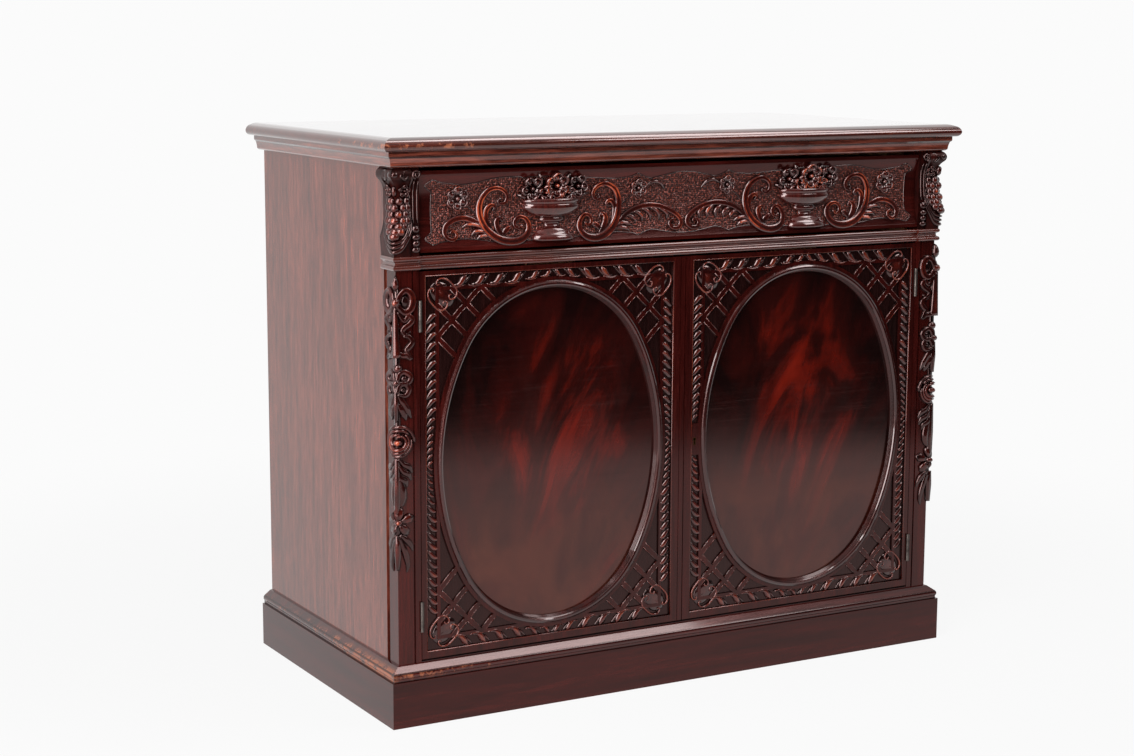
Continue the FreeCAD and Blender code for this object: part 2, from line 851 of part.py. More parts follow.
def oval(side, offset):
    """Four-centred oval, widened by an offset, in the plane of the doors."""
    side_r = oval_centres()[0] + offset
    end_r = oval_end_radius + offset
    across, along = oval_joint(offset)
    middle = side * oval_place
    return [
        (middle + across, oval_height - along, side_r),
        (middle + across, oval_height + along, end_r),
        (middle - across, oval_height + along, side_r),
        (middle - across, oval_height - along, end_r),
    ]


def oval_pad(name, side, offset, depth):
    return pad(name, "Y", (case_front + depth[0], case_front + depth[1]), oval(side, offset))


# Shares of the ridge's width and rise, from its inner to its outer side
RING_FLATS = ((0.12, 0.6), (0.35, 1.0), (0.65, 1.0), (0.88, 0.6))


def ring_section(sight):
    """Section of the oval moulding: a splay at the panel, then a ridge of five flats standing proud."""
    face = case_front
    outer = sight + S.ring_width
    back = face + S.panel_recess
    ridge = sight + S.ring_splay_width
    top = face - S.ring_step
    flats = [(ridge + across * (outer - ridge), top - up * S.ring_ridge_rise) for across, up in RING_FLATS]
    return [
        (sight, back),
        (sight, back - S.ring_lip),
        (ridge, face + S.ring_splay_drop),
        (ridge, top),
        *flats,
        (outer, top),
        (outer, back),
    ]


UPRIGHT_TURN = FreeCAD.Rotation(FreeCAD.Vector(1, 1, 1), 120)


def revolved(name, corners, turn, start, centre, angle):
    """A section turned about an axis along Y, half the angle to each side of its own plane."""
    sketch = doc.addObject("Sketcher::SketchObject", f"{name}_section")
    sketch.Placement = FreeCAD.Placement(FreeCAD.Vector(), turn)
    bind(sketch, f"Placement.Base.{start[0]}", start[1])
    draw(sketch, bowed(corners))
    result = doc.addObject("Part::Revolution", name)
    result.Source = sketch
    result.Axis = FreeCAD.Vector(0, 1, 0)
    result.Solid = True
    result.Symmetric = True
    bind(result, "Base.x", centre[0])
    bind(result, "Base.z", centre[1])
    bind(result, "Angle", angle)
    return result


def make_ring(name, side):
    """The oval moulding: a revolved length on each of the oval's four centres."""
    middle = side * oval_place
    side_centre, end_centre = oval_centres()[1:]
    across, along = oval_joint(0)
    reach = across + side_centre
    lean = Dim(math.degrees(math.atan2(along.number, reach.number)),
               f"(atan2({along.text}; {reach.text}) / 1 deg)")
    flank = revolved(f"{name}_flank", ring_section(middle + oval_half_width), FreeCAD.Rotation(),
                     ("z", oval_height), (middle - side_centre, oval_height), 2 * lean)
    upright = [(depth, place, *[-as_dim(rise) for rise in bow])
               for place, depth, *bow in ring_section(oval_height + oval_half_height)]
    crown = revolved(f"{name}_crown", upright, UPRIGHT_TURN,
                     ("x", middle), (middle, oval_height + end_centre), 180 - 2 * lean)
    return fuse(name, flank, mirror(f"{name}_flank_mirror", flank, (1, 0, 0), middle),
                crown, mirror(f"{name}_crown_mirror", crown, (0, 0, 1), 0, 0, oval_height))


def make_trellis(name, side):
    """Crossed strips in the four spandrels and the band that frames them."""
    rise = (case_front + S.field_depth - S.trellis_rise, case_front + S.field_depth)
    slant = math.sqrt(0.5)
    half = S.trellis_width / 2 * slant
    run = S.trellis_reach * slant
    field_half = (field_outer - S.field_inner) / 2
    centre_x = side * oval_place + field_half - S.trellis_centre
    centre_z = field_top - S.trellis_centre
    strips = []

    def strip(label, x, z, slope):
        strips.append(pad(label, "Y", rise, [
            (x - run - half, z - slope * run + slope * half),
            (x - run + half, z - slope * run - slope * half),
            (x + run + half, z + slope * run - slope * half),
            (x + run - half, z + slope * run + slope * half),
        ]))
    strip(f"{name}_long", centre_x, centre_z, -1)
    for index in range(4):
        step = (index - 1.5) * S.trellis_pitch
        strip(f"{name}_cross{index}", centre_x + step, centre_z - step, 1)
    inset = S.border_width
    middle = side * oval_place
    corner = pad(f"{name}_corner", "Y", rise, rectangle(
        (middle, middle + field_half - inset), (oval_height, field_top - inset)))
    quarter = common(f"{name}_quarter", fuse(f"{name}_crossed", *strips), corner)
    across = group(f"{name}_across", quarter, mirror(f"{name}_flipped", quarter, (1, 0, 0), middle))
    lower = mirror(f"{name}_lower", across, (0, 0, 1), 0, 0, oval_height)
    bands = []
    for label, margin in (("outer", inset - S.border_band), ("inner", inset)):
        bands.append(pad(f"{name}_{label}_band", "Y", rise, rectangle(
            (middle - field_half + margin, middle + field_half - margin),
            (field_bottom + margin, field_top - margin))))
    return fuse(f"{name}_all", across, lower, cut(f"{name}_band", *bands))


def keyhole_shape(name, wall, depth):
    x = S.keyhole_place
    z = keyhole_height
    half = S.keyhole_slot / 2 + wall
    span = (case_front, case_front + depth)
    return fuse(name, bore(f"{name}_eye", x, span, z, S.keyhole_radius + wall),
                box(f"{name}_slot", (x - half, x + half), span, (z - S.keyhole_drop - wall, z)))


def make_door(word, side):
    name = f"door_{word}"
    hinge_edge = side * (post_inner - S.door_gap)
    meeting = S.meeting_place + side * S.meeting_gap / 2
    x = (meeting, hinge_edge) if side > 0 else (hinge_edge, meeting)
    blank = box(f"{name}_blank", x, (case_front, door_back), (door_low, door_high))
    seat_depth = S.panel_recess + S.panel_thickness
    field_x = (S.field_inner, field_outer) if side > 0 else (-field_outer, -S.field_inner)
    sunk = pad(f"{name}_field", "Y", (case_front, case_front + S.field_depth),
               rectangle(field_x, (field_bottom, field_top)))
    land = oval_pad(f"{name}_land", side, S.ring_width + S.ring_land,
                    (-CUT_ROOM, S.field_depth + CUT_ROOM))
    plain = [land]
    if side > 0:
        plain.append(box(f"{name}_lock_land", (S.field_inner, S.field_inner + S.border_width),
                         (case_front, case_front + S.field_depth),
                         (keyhole_height - S.lock_land / 2, keyhole_height + S.lock_land / 2)))
    ground = cut(f"{name}_ground", sunk, *plain)
    sight = oval_pad(f"{name}_sight", side, S.ring_width - S.panel_seat, (0, S.door_thickness))
    seat = oval_pad(f"{name}_seat", side, S.ring_width, (0, seat_depth))
    frame = cut(f"{name}_sawn", blank, ground, sight, seat)
    strips = common(f"{name}_strips", make_trellis(f"{name}_trellis", side), ground)
    recesses = []
    for place, height in HINGES.items():
        for tool in (leaf_block(f"{name}_recess_{place}", False, height),
                     knuckle_relief(f"{name}_relief_{place}", height)):
            recesses.append(tool if side > 0 else mirror(f"{tool.Name}_mirror", tool))
    if side > 0:
        recesses.append(keyhole_shape(f"{name}_keyhole", 0, S.door_thickness))
        recesses.append(keyhole_shape(f"{name}_keyhole_seat", S.escutcheon_wall, S.escutcheon_depth))
    else:
        bead = meeting - S.bead_width
        recesses.append(box(f"{name}_quirk", (bead - S.bead_quirk, bead),
                            (case_front, case_front + S.quirk_depth), (door_low, door_high)))
    keep(f"{name}_frame", cut(f"{name}_frame", fuse(f"{name}_carved", frame, strips), *recesses))
    keep(f"{name}_oval_moulding", make_ring(f"{name}_oval_moulding", side))
    keep(f"{name}_panel", oval_pad(f"{name}_panel", side, S.ring_width, (S.panel_recess, seat_depth)))


def make_lock():
    """Cupboard lock on the back of the right door, its bolt and the keep on the left door."""
    low_x = S.meeting_place + S.meeting_gap / 2 + S.lock_inset
    high_x = low_x + S.lock_width
    z = (keyhole_height - S.lock_height / 2, keyhole_height + S.lock_height / 2)
    y = (door_back, door_back + S.lock_depth)
    wall = S.lock_wall
    shell = box("lock_shell", (low_x, high_x), y, z)
    bolt_z = (keyhole_height - S.lock_bolt_height / 2, keyhole_height + S.lock_bolt_height / 2)
    bolt_mid = door_back + S.lock_depth / 2
    bolt_y_span = (bolt_mid - S.lock_bolt_thickness / 2, bolt_mid + S.lock_bolt_thickness / 2)
    gap = S.slide_clearance
    channel = box("lock_channel", (low_x, high_x - wall), (bolt_y_span[0] - gap, bolt_y_span[1] + gap),
                  (bolt_z[0] - gap, bolt_z[1] + gap))
    key_way = bore("lock_key_way", S.keyhole_place, (door_back, door_back + S.key_way_depth),
                   keyhole_height, S.keyhole_radius)
    keep("lock_case", cut("lock_case", shell, channel, key_way))
    keep("lock_bolt", box("lock_bolt", (low_x, low_x + S.lock_bolt_length), bolt_y_span, bolt_z))
    keep_high = S.meeting_place - S.meeting_gap / 2 - S.keep_inset
    keep_x = (keep_high - S.keep_width, keep_high)
    plate = box("keep_plate", keep_x, (door_back, bolt_y_span[1] + gap + S.keep_thickness),
                (bolt_z[0] - gap - S.keep_thickness, bolt_z[1] + gap + S.keep_thickness))
    mouth = box("keep_mouth", (keep_x[0], keep_x[1]), (bolt_y_span[0] - gap, bolt_y_span[1] + gap),
                (bolt_z[0] - gap, bolt_z[1] + gap))
    keep("lock_keep", cut("lock_keep", plate, mouth))
    ring = keyhole_shape("escutcheon_outer", S.escutcheon_wall, S.escutcheon_depth)
    hole = keyhole_shape("escutcheon_hole", 0, S.escutcheon_depth)
    keep("keyhole_escutcheon", cut("keyhole_escutcheon", ring, hole))


def make_bolts():
    """Barrel bolts that hold the left door at the top and the bottom."""
    x = -S.bolt_place
    half = S.bolt_plate_width / 2
    plate_y = (door_back, door_back + S.bolt_plate_thickness)
    plates = []
    for word, inward, edge in (("top", -1, door_high), ("bottom", 1, door_low)):
        far = edge + inward * S.bolt_length
        span = (far, edge) if inward < 0 else (edge, far)
        pieces = [box(f"{word}_bolt_plate", (x - half, x + half), plate_y, span)]
        strap_half = S.bolt_radius + S.bolt_strap_wall
        for index, share in enumerate((S.bolt_strap_near, S.bolt_strap_far)):
            strap_z = edge + inward * share * S.bolt_length
            strap = (strap_z, strap_z + S.bolt_plate_width / 2)
            pieces.append(box(f"{word}_strap{index}", (x - strap_half, x + strap_half),
                              (plate_y[1], bolt_y + strap_half), strap))
        blank = fuse(f"{word}_bolt_blank", *pieces)
        tunnel = cylinder(f"{word}_bolt_tunnel", x, bolt_y, span, S.bolt_radius + S.slide_clearance)
        plates.append(cut(f"{word}_bolt_straps", blank, tunnel))
        keep(f"{word}_bolt", cylinder(f"{word}_bolt", x, bolt_y, span, S.bolt_radius))
    keep("bolt_plates", group("bolt_plates", *plates))


def make_drawer():
    half = post_inner - S.drawer_gap
    face = case_front - S.drawer_proud
    back = face + S.drawer_front_thickness
    step = face + S.drawer_fillet_step
    hollow = arc_radius(drawer_high - drawer_low - 2 * S.drawer_fillet, S.drawer_hollow_depth)
    front = pad("drawer_front", "X", (-half, half), [
        (back, drawer_low),
        (back, drawer_high),
        (face, drawer_high),
        (face, drawer_high - S.drawer_fillet),
        (step, drawer_high - S.drawer_fillet, -hollow),
        (step, drawer_low + S.drawer_fillet),
        (face, drawer_low + S.drawer_fillet),
        (face, drawer_low),
    ])
    keep("drawer_front", front)
    base = waist_top + S.slide_clearance
    end = back_face - S.drawer_stop_length - S.slide_clearance
    side_top = drawer_high - S.drawer_side_drop
    side_x = (half - S.drawer_side_thickness, half)
    bottom_z = (base + S.drawer_bottom_rise, base + S.drawer_bottom_rise + S.drawer_bottom_thickness)
    floor_half = side_x[0] + S.drawer_groove
    board = box("drawer_side_board", side_x, (back, end), (base, side_top))
    groove = box("drawer_side_groove", (side_x[0], floor_half), (back, end), bottom_z)
    keep_pair("drawer_side", cut("drawer_side_right", board, groove))
    back_span = (end - S.drawer_side_thickness, end)
    keep("drawer_back", box("drawer_back", (-side_x[0], side_x[0]), back_span,
                            (bottom_z[1], drawer_high - S.drawer_back_drop)))
    keep("drawer_bottom", box("drawer_bottom", (-floor_half, floor_half), (back, end), bottom_z))
    make_drawer_guides(half, side_top)
    make_urns(front, face)


def make_drawer_guides(half, side_top):
    guide_x = (half + S.slide_clearance, side_inner)
    guide = box("guide_right", guide_x, (side_front, back_face), (waist_top, waist_top + S.guide_height))
    keep("drawer_guides", group("drawer_guides", guide, mirror("guide_left", guide)))
    kicker_low = side_top + S.kicker_clearance
    kicker = box("kicker_right", (side_inner - S.kicker_width, side_inner),
                 (case_front + S.waist_rail_depth, back_face), (kicker_low, top_under))
    keep("drawer_kickers", group("drawer_kickers", kicker, mirror("kicker_left", kicker)))
    stop = box("drawer_stop_right", (half - S.kicker_width, half),
               (back_face - S.drawer_stop_length, back_face), (waist_top, waist_top + S.guide_height))
    keep("drawer_stops", group("drawer_stops", stop, mirror("drawer_stop_left", stop)))


# Right half of an urn: reach and height as shares, and the swell of an arc to the next place
URN_OUTLINE = {
    "foot_low": (0.7, 0.1),
    "foot_high": (0.7, 0.14),
    "stem_low": (0.38, 0.23),
    "stem_neck": (0.33, 0.3),
    "stem_ring": (0.42, 0.335),
    "bowl_low": (0.42, 0.36, 0.0525),
    "rim_low": (1.0, 0.46),
    "rim_high": (1.0, 0.56),
    "heap_side": (1.15, 0.66, 0.115),
    "heap_shoulder": (0.6, 0.83, 0.165),
}


def make_urns(front, face):
    """Footed urn heaped with flowers, domed across its width and seated on the hollow front."""
    wide = S.urn_half_width
    high = drawer_high - drawer_low
    middle = S.urn_place

    def at(reach, share):
        return reach * wide, drawer_low + share * high
    right = [(*at(reach, share), *[wide * part for part in swell])
             for reach, share, *swell in URN_OUTLINE.values()]
    outline = [(middle + c[0], *c[1:]) for c in right]
    mirrored = []
    for index in range(len(right) - 1, -1, -1):
        corner = (middle - right[index][0], right[index][1])
        arc = right[index - 1][2:] if index else ()
        mirrored.append((*corner, *arc))
    crest = face - S.urn_rise
    slab = pad("urn_slab", "Y", (crest - S.urn_slab_room, face + S.drawer_front_thickness / 2),
               bowed(outline + mirrored))
    dome = cylinder("urn_dome", middle, crest + S.urn_dome_radius, (drawer_low, drawer_high),
                    S.urn_dome_radius)
    urn = cut("urn_right", common("urn_domed", slab, dome), front)
    keep_pair("urn", urn)


make_plinth()
make_top()
make_posts()
make_hinges()
make_case()
make_waist()
make_corbels()
make_festoons()
make_door("right", 1)
make_door("left", -1)
make_lock()
make_bolts()
make_drawer()

doc.recompute()

faults = [thing.Name for thing in doc.Objects if {"Invalid", "Error"} & set(thing.State)]
faults += [node for node, solid in nodes.items() if solid.Shape.isNull() or not solid.Shape.isValid()]
if faults:
    raise RuntimeError("these objects failed: " + ", ".join(faults))

os.makedirs("parts", exist_ok=True)
for node, solid in nodes.items():
    solid.Shape.exportStep(f"parts/{node}.step")
print(len(nodes), "nodes written")
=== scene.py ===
import json
import math

import bmesh
import bpy
from bpy.props import FloatProperty, FloatVectorProperty, PointerProperty
from mathutils import Matrix, Vector

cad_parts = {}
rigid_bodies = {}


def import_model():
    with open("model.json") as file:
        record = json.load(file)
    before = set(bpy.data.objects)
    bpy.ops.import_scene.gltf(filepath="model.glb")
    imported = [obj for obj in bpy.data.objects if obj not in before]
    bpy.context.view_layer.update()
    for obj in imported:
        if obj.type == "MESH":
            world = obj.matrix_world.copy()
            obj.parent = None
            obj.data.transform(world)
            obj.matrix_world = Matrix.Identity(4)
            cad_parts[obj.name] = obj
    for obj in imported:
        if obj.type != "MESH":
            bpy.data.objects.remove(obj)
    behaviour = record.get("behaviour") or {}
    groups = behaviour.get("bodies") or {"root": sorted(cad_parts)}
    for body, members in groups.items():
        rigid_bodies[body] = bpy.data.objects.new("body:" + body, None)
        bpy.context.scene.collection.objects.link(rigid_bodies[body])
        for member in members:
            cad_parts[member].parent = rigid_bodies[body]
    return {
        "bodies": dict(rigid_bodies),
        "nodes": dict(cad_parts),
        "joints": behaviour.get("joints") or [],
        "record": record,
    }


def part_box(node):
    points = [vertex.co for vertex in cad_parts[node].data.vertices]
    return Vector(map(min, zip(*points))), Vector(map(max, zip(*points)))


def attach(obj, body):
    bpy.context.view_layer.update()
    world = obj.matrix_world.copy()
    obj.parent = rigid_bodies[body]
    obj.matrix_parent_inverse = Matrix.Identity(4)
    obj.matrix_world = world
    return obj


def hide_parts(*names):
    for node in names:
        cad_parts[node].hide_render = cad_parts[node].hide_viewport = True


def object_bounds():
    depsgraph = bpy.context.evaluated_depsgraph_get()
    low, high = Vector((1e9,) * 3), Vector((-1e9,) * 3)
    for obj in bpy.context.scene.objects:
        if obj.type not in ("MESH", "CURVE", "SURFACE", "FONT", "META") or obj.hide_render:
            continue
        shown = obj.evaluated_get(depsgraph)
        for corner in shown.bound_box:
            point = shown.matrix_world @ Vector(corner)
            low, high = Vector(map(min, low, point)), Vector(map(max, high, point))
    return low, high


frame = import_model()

bl_info = {
    "name": "Carved chiffonier",
    "version": (1, 0, 0),
    "blender": (4, 5, 0),
    "location": "View3D > Sidebar > Chiffonier",
    "description": "Polish, carving and a plain room for a mahogany chiffonier",
    "category": "Object",
}

KEPT = {thing.name for group in ("bodies", "nodes") for thing in frame[group].values()}
for stray in [thing for thing in bpy.data.objects if thing.name not in KEPT]:
    bpy.data.objects.remove(stray)
CAD_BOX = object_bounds()

# Carving is drawn flat in millimetres, as (across, up, rise), and laid on its ground in metres
MM = 0.001
SINK = 0.8
SIDES = (("left", -1), ("right", 1))


def node_box(name):
    """Lowest and highest corner of a node in millimetres."""
    return [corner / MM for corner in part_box(name)]


POST_LOW, POST_HIGH = node_box("corner_post_right")
CORNER_X = POST_HIGH.x
CORNER_Y = POST_LOW.y
DRAWER_LOW, DRAWER_HIGH = node_box("drawer_front")
RING_LOW, RING_HIGH = node_box("door_right_oval_moulding")
OVAL_X = (RING_LOW.x + RING_HIGH.x) / 2
OVAL_Z = (RING_LOW.z + RING_HIGH.z) / 2


# Settings

def tint(name, description, default):
    return FloatVectorProperty(name=name, description=description, subtype="COLOR", size=3, min=0, max=1,
                               default=default)


def length(name, description, default, low, high=0.2):
    return FloatProperty(name=name, description=description, unit="LENGTH", min=low, max=high, default=default)


def power(name, description, default):
    return FloatProperty(name=name, description=description, unit="POWER", min=0, default=default)


class PolishSettings(bpy.types.PropertyGroup):
    dark: tint("Dark grain", "Darkest colour of the polished wood", (0.009, 0.0011, 0.001))
    light: tint("Light grain", "Lightest colour of the polished wood", (0.047, 0.0044, 0.0032))
    flame: tint("Flame", "Brightest figure of the oval panels", (0.13, 0.006, 0.0016))
    # Near black of old, dark polish, also painted as shade into the depths of carving, sunk fields, quirks and punch
    # marks
    dark_polish_and_shade: tint("Recesses", "Old polish in the depth of the carving", (0.0025, 0.0005, 0.0005))
    # Rubbed wear together with a painted highlight on the highest crests of the carving
    crest: tint("Crests", "Rubbed tops of the carving", (0.27, 0.048, 0.018))
    bare: tint("Bare wood", "Wood that shows where an edge is worn", (0.2, 0.06, 0.026))
    gloss: FloatProperty(name="Polish roughness", description="Roughness of the polished faces", min=0.02, max=1,
                         default=0.11)


class CarvingSettings(bpy.types.PropertyGroup):
    rib_pitch: length("Rib pitch", "Distance between the ribs beside the doors' ovals", 0.0152, 0.008)
    leaf_pitch: length("Leaf pitch", "Distance between the leaves above and below the ovals", 0.033, 0.015)
    border_rise: length("Border rise", "How far the doors' borders stand above the sunk field", 0.0044, 0.001, 0.006)
    scroll_rise: length("Scroll rise", "How far the drawer's scrolls stand above their ground", 0.0075, 0.002, 0.012)
    punch_depth: length("Punch depth", "Depth of the punched ground of the drawer", 0.001, 0.0001, 0.0015)
    festoon_rise: length("Festoon rise", "How far the festoons stand off the posts", 0.0085, 0.004, 0.012)


class RoomSettings(bpy.types.PropertyGroup):
    floor: tint("Floor", "Colour of the floor", (0.5, 0.5, 0.5))
    key: power("Key lamp", "Power of the large lamp over the front left", 90)
    fill: power("Fill lamp", "Power of the lamp at the right", 22)
    strip: power("Strip lamp", "Power of the upright lamp at the left", 100)
    overhead: power("Overhead lamp", "Power of the broad lamp above the case", 45)
    sky: FloatProperty(name="Ambient", description="Strength of the even light from behind and above", min=0,
                       default=0.35)


# Node helpers

class Graph:
    """Adds nodes to a material's or world's tree."""

    def __init__(self, tree):
        self.tree = tree
        tree.nodes.clear()

    def add(self, kind, inputs=None, **settings):
        made = self.tree.nodes.new("ShaderNode" + kind)
        for name, value in settings.items():
            setattr(made, name, value)
        for name, value in (inputs or {}).items():
            self.feed(made.inputs[name], value)
        return made

    def feed(self, socket, value):
        if isinstance(value, bpy.types.NodeSocket):
            self.tree.links.new(value, socket)
        else:
            socket.default_value = value

    def mix(self, share, first, second, kind="MIX"):
        made = self.add("Mix", data_type="RGBA", blend_type=kind)
        self.feed(made.inputs[0], share)
        for socket, value in ((made.inputs[6], first), (made.inputs[7], second)):
            self.feed(socket, value if isinstance(value, bpy.types.NodeSocket) else (*value, 1))
        return made.outputs[2]

    def math(self, kind, first, second=0.0):
        made = self.add("Math", operation=kind)
        self.feed(made.inputs[0], first)
        self.feed(made.inputs[1], second)
        return made.outputs[0]

    def plus(self, first, second):
        return self.math("ADD", first, second)

    def minus(self, first, second):
        return self.math("SUBTRACT", first, second)

    def times(self, first, second):
        return self.math("MULTIPLY", first, second)

    def span(self, value, low, high, to_low=0.0, to_high=1.0):
        """A value eased from one range to another."""
        made = self.add("MapRange", {"Value": value, "From Min": low, "From Max": high,
                                     "To Min": to_low, "To Max": to_high},
                        interpolation_type="SMOOTHSTEP")
        return made.outputs[0]

    def ramp(self, value, *stops):
        made = self.add("ValToRGB", {"Fac": value})
        steps = made.color_ramp.elements
        while len(steps) < len(stops):
            steps.new(0.5)
        for step, (place, colour) in zip(steps, stops):
            step.position = place
            step.color = (*colour, 1)
        return made.outputs[0]

    def noise(self, where, scale, detail=4.0, roughness=0.55, distortion=0.0):
        made = self.add("TexNoise", {"Vector": where, "Scale": scale, "Detail": detail,
                                     "Roughness": roughness, "Distortion": distortion})
        return made.outputs[0]

    def stretched(self, scale, turn=(0, 0, 0), start=(0, 0, 0)):
        """Object coordinates, scaled apart on each axis."""
        place = self.add("TexCoord").outputs["Object"]
        return self.add("Mapping", {"Vector": place, "Location": start, "Rotation": turn,
                                    "Scale": scale}).outputs[0]

    def parts(self):
        """Object coordinates as three values."""
        place = self.add("TexCoord").outputs["Object"]
        return self.add("SeparateXYZ", {"Vector": place}).outputs

    def relief(self):
        """How high a place of a carving stands, from 0 to 1."""
        return self.add("Attribute", attribute_name="relief", attribute_type="GEOMETRY").outputs["Fac"]

    def finish(self, **values):
        """Ends a material with one shader."""
        shader = self.add("BsdfPrincipled")
        for name, value in values.items():
            self.feed(shader.inputs[name.replace("_", " ")], value)
        out = self.add("OutputMaterial")
        self.tree.links.new(shader.outputs[0], out.inputs["Surface"])


def new_material(name):
    """An empty tree for a new material of that name."""
    made = bpy.data.materials.new(name)
    made.use_nodes = True
    return Graph(made.node_tree)


WHITE = (1, 1, 1)
WARM = (1.0, 0.5, 0.46, 1.0)
GRAIN = {"X": (1, 14, 14), "Y": (14, 1, 14), "Z": (14, 14, 1)}


def scaled(axis, size):
    return tuple(size * part for part in GRAIN[axis])


def grain_colours(graph, axis, polish):
    """Broad stripes and fine pores that run along one axis."""
    broad = graph.noise(graph.stretched(scaled(axis, 2.6)), 1.0, 5.0, 0.6, 0.9)
    streaks = graph.noise(graph.stretched(scaled(axis, 22)), 1.0, 3.0, 0.6)
    colour = graph.ramp(broad, (0.3, polish.dark), (0.72, polish.light))
    shade = graph.ramp(streaks, (0.35, (0.45, 0.42, 0.42)), (0.62, WHITE))
    return graph.mix(0.7, colour, shade, "MULTIPLY"), streaks


def relief_bump(graph, height, strength, distance):
    return graph.add("Bump", {"Height": height, "Strength": strength, "Distance": distance}).outputs[0]


# Wear at a front left corner: depth of the bare edge, reach and gain of the wear, and the noise that shows as chips
WORN_DEPTH = (0.0004, 0.0022)
WORN_REACH = (0.01, 0.4)
WORN_GAIN = (0.2, -0.01)
CHIP_NOISE = (0.66, 0.8)
RUBBED_NOISE = (14, 8)


def worn_edge(graph, corner, rubbed):
    """How bare the outer edges at a front left corner are; a rubbed left side is worn deeper by that much."""
    x, y, _ = graph.parts()
    beside = graph.span(graph.minus(x, corner[0]), WORN_DEPTH[0], WORN_DEPTH[1] + rubbed, 1.0, 0.0)
    before = graph.span(graph.minus(y, corner[1]), *WORN_DEPTH, 1.0, 0.0)
    place = graph.add("TexCoord").outputs["Object"]
    away = graph.add("VectorMath", {0: place, 1: corner}, operation="DISTANCE").outputs["Value"]
    near = graph.span(away, *WORN_REACH, *WORN_GAIN)
    chips = graph.plus(graph.noise(place, 60.0, 6.0, 0.7), near)
    front = graph.times(before, graph.span(chips, *CHIP_NOISE))
    lower = [limit - share * rubbed for limit, share in zip(CHIP_NOISE, RUBBED_NOISE)]
    return graph.math("MAXIMUM", front, graph.times(beside, graph.span(chips, *lower)))


def painted_quirk_shade(graph, quirks):
    """Painted shade: dark lines along the quirks of a moulding, given by their heights and half widths."""
    z = graph.parts()[2]
    lines = [graph.span(graph.math("ABSOLUTE", graph.minus(z, height)), half * 0.5, half, 1.0, 0.0)
             for height, half in quirks]
    return lines[0] if len(lines) == 1 else graph.math("MAXIMUM", *lines)


def painted_field_shade(graph):
    """Painted shade on the ground of the doors' sunk fields, by how deep a place lies."""
    y = graph.parts()[1]
    sunk = graph.span(y, (CORNER_Y + 0.9) * MM, (CORNER_Y + 2.4) * MM)
    return graph.times(sunk, graph.span(y, (CORNER_Y + 5) * MM, (CORNER_Y + 6) * MM, 1.0, 0.0))


PALE_GRAIN = ((0.35, (0.11, 0.022, 0.012)), (0.65, (0.34, 0.085, 0.05)))
PALE_STRIPES = ((0.36, (0.35, 0.34, 0.34)), (0.62, WHITE))


def polished_wood(name, axis, polish, worn_at=None, rubbed=0.0, sunk=False, quirks=(), faded=0.0, deep=0.0,
                  coat=0.15, haze=0.0):
    """Glossy mahogany: bare where edges are worn, with painted shade in sunk fields and quirks, pale where faded."""
    graph = new_material(name)
    colour, streaks = grain_colours(graph, axis, polish)
    if faded:
        bleached = graph.ramp(streaks, *PALE_GRAIN)
        stripes = graph.ramp(graph.noise(graph.stretched(scaled(axis, 7)), 1.0, 4.0, 0.65, 0.4), *PALE_STRIPES)
        colour = graph.mix(faded, colour, graph.mix(1.0, bleached, stripes, "MULTIPLY"))
    if deep:
        colour = graph.mix(deep, colour, polish.dark_polish_and_shade)
    smooth = polish.gloss + haze
    rough = graph.span(streaks, 0.3, 0.75, smooth, smooth + 0.09)
    if worn_at:
        bare = worn_edge(graph, worn_at, rubbed)
        colour = graph.mix(bare, colour, polish.bare)
        rough = graph.plus(rough, graph.times(bare, 0.3))
    # Painted shade: sunk fields and quirks are darkened towards the near-black recess colour
    if sunk or quirks:
        depth = painted_field_shade(graph) if sunk else painted_quirk_shade(graph, quirks)
        colour = graph.mix(graph.times(depth, 0.85), colour, polish.dark_polish_and_shade)
        rough = graph.plus(rough, graph.times(depth, 0.12))
    bump = relief_bump(graph, streaks, 0.12, 0.0004)
    graph.finish(Base_Color=colour, Roughness=rough, Normal=bump, Coat_Weight=coat, Coat_Roughness=0.06,
                 Specular_Tint=WARM, Specular_IOR_Level=0.38)


def carved_wood(name, polish, crest, coat):
    """Carving coloured by height: painted shade makes the depths black, and rubbed wear with a painted highlight makes
    the crests red.
    """
    graph = new_material(name)
    relief = graph.relief()
    patches = graph.noise(graph.stretched((30, 30, 30)), 1.0, 4.0, 0.6)
    height = graph.plus(relief, graph.span(patches, 0.3, 0.7, -0.14, 0.14))
    # Painted shade low on the carving, painted highlight with rubbed wear on its crests
    colour = graph.ramp(height, (0.25, polish.dark_polish_and_shade), (0.6, (0.014, 0.0014, 0.001)),
                        (0.88, (0.055, 0.0055, 0.0027)), (1.0, crest))
    grain = graph.noise(graph.stretched((420, 420, 60)), 1.0, 3.0, 0.6)
    bump = relief_bump(graph, grain, 0.15, 0.0005)
    graph.finish(Base_Color=colour, Roughness=graph.span(grain, 0.3, 0.7, 0.13, 0.2), Normal=bump,
                 Coat_Weight=coat, Coat_Roughness=0.05, Specular_Tint=WARM)


def punched_wood(name, polish):
    """The matt punched ground behind the drawer's scrolls: painted shade in the punch marks, and light red between
    them that is partly a painted highlight.
    """
    graph = new_material(name)
    relief = graph.relief()
    x, _, z = graph.parts()
    place = graph.add("CombineXYZ", {"X": x, "Y": z}).outputs[0]
    dots = graph.add("TexVoronoi", {"Vector": place, "Scale": 290.0, "Randomness": 0.45}, feature="F1",
                     voronoi_dimensions="2D").outputs["Distance"]
    height = graph.plus(graph.times(relief, 0.2), dots)
    # Punch marks painted near black as shade; the ground between them painted light, partly as a highlight
    colour = graph.ramp(height, (0.3, polish.dark_polish_and_shade), (0.53, (0.007, 0.0014, 0.0011)), (0.74, (0.15, 0.036, 0.025)))
    graph.finish(Base_Color=colour, Roughness=graph.span(dots, 0.1, 0.6, 0.34, 0.16),
                 Normal=relief_bump(graph, dots, 0.9, 0.0012), Specular_Tint=WARM)


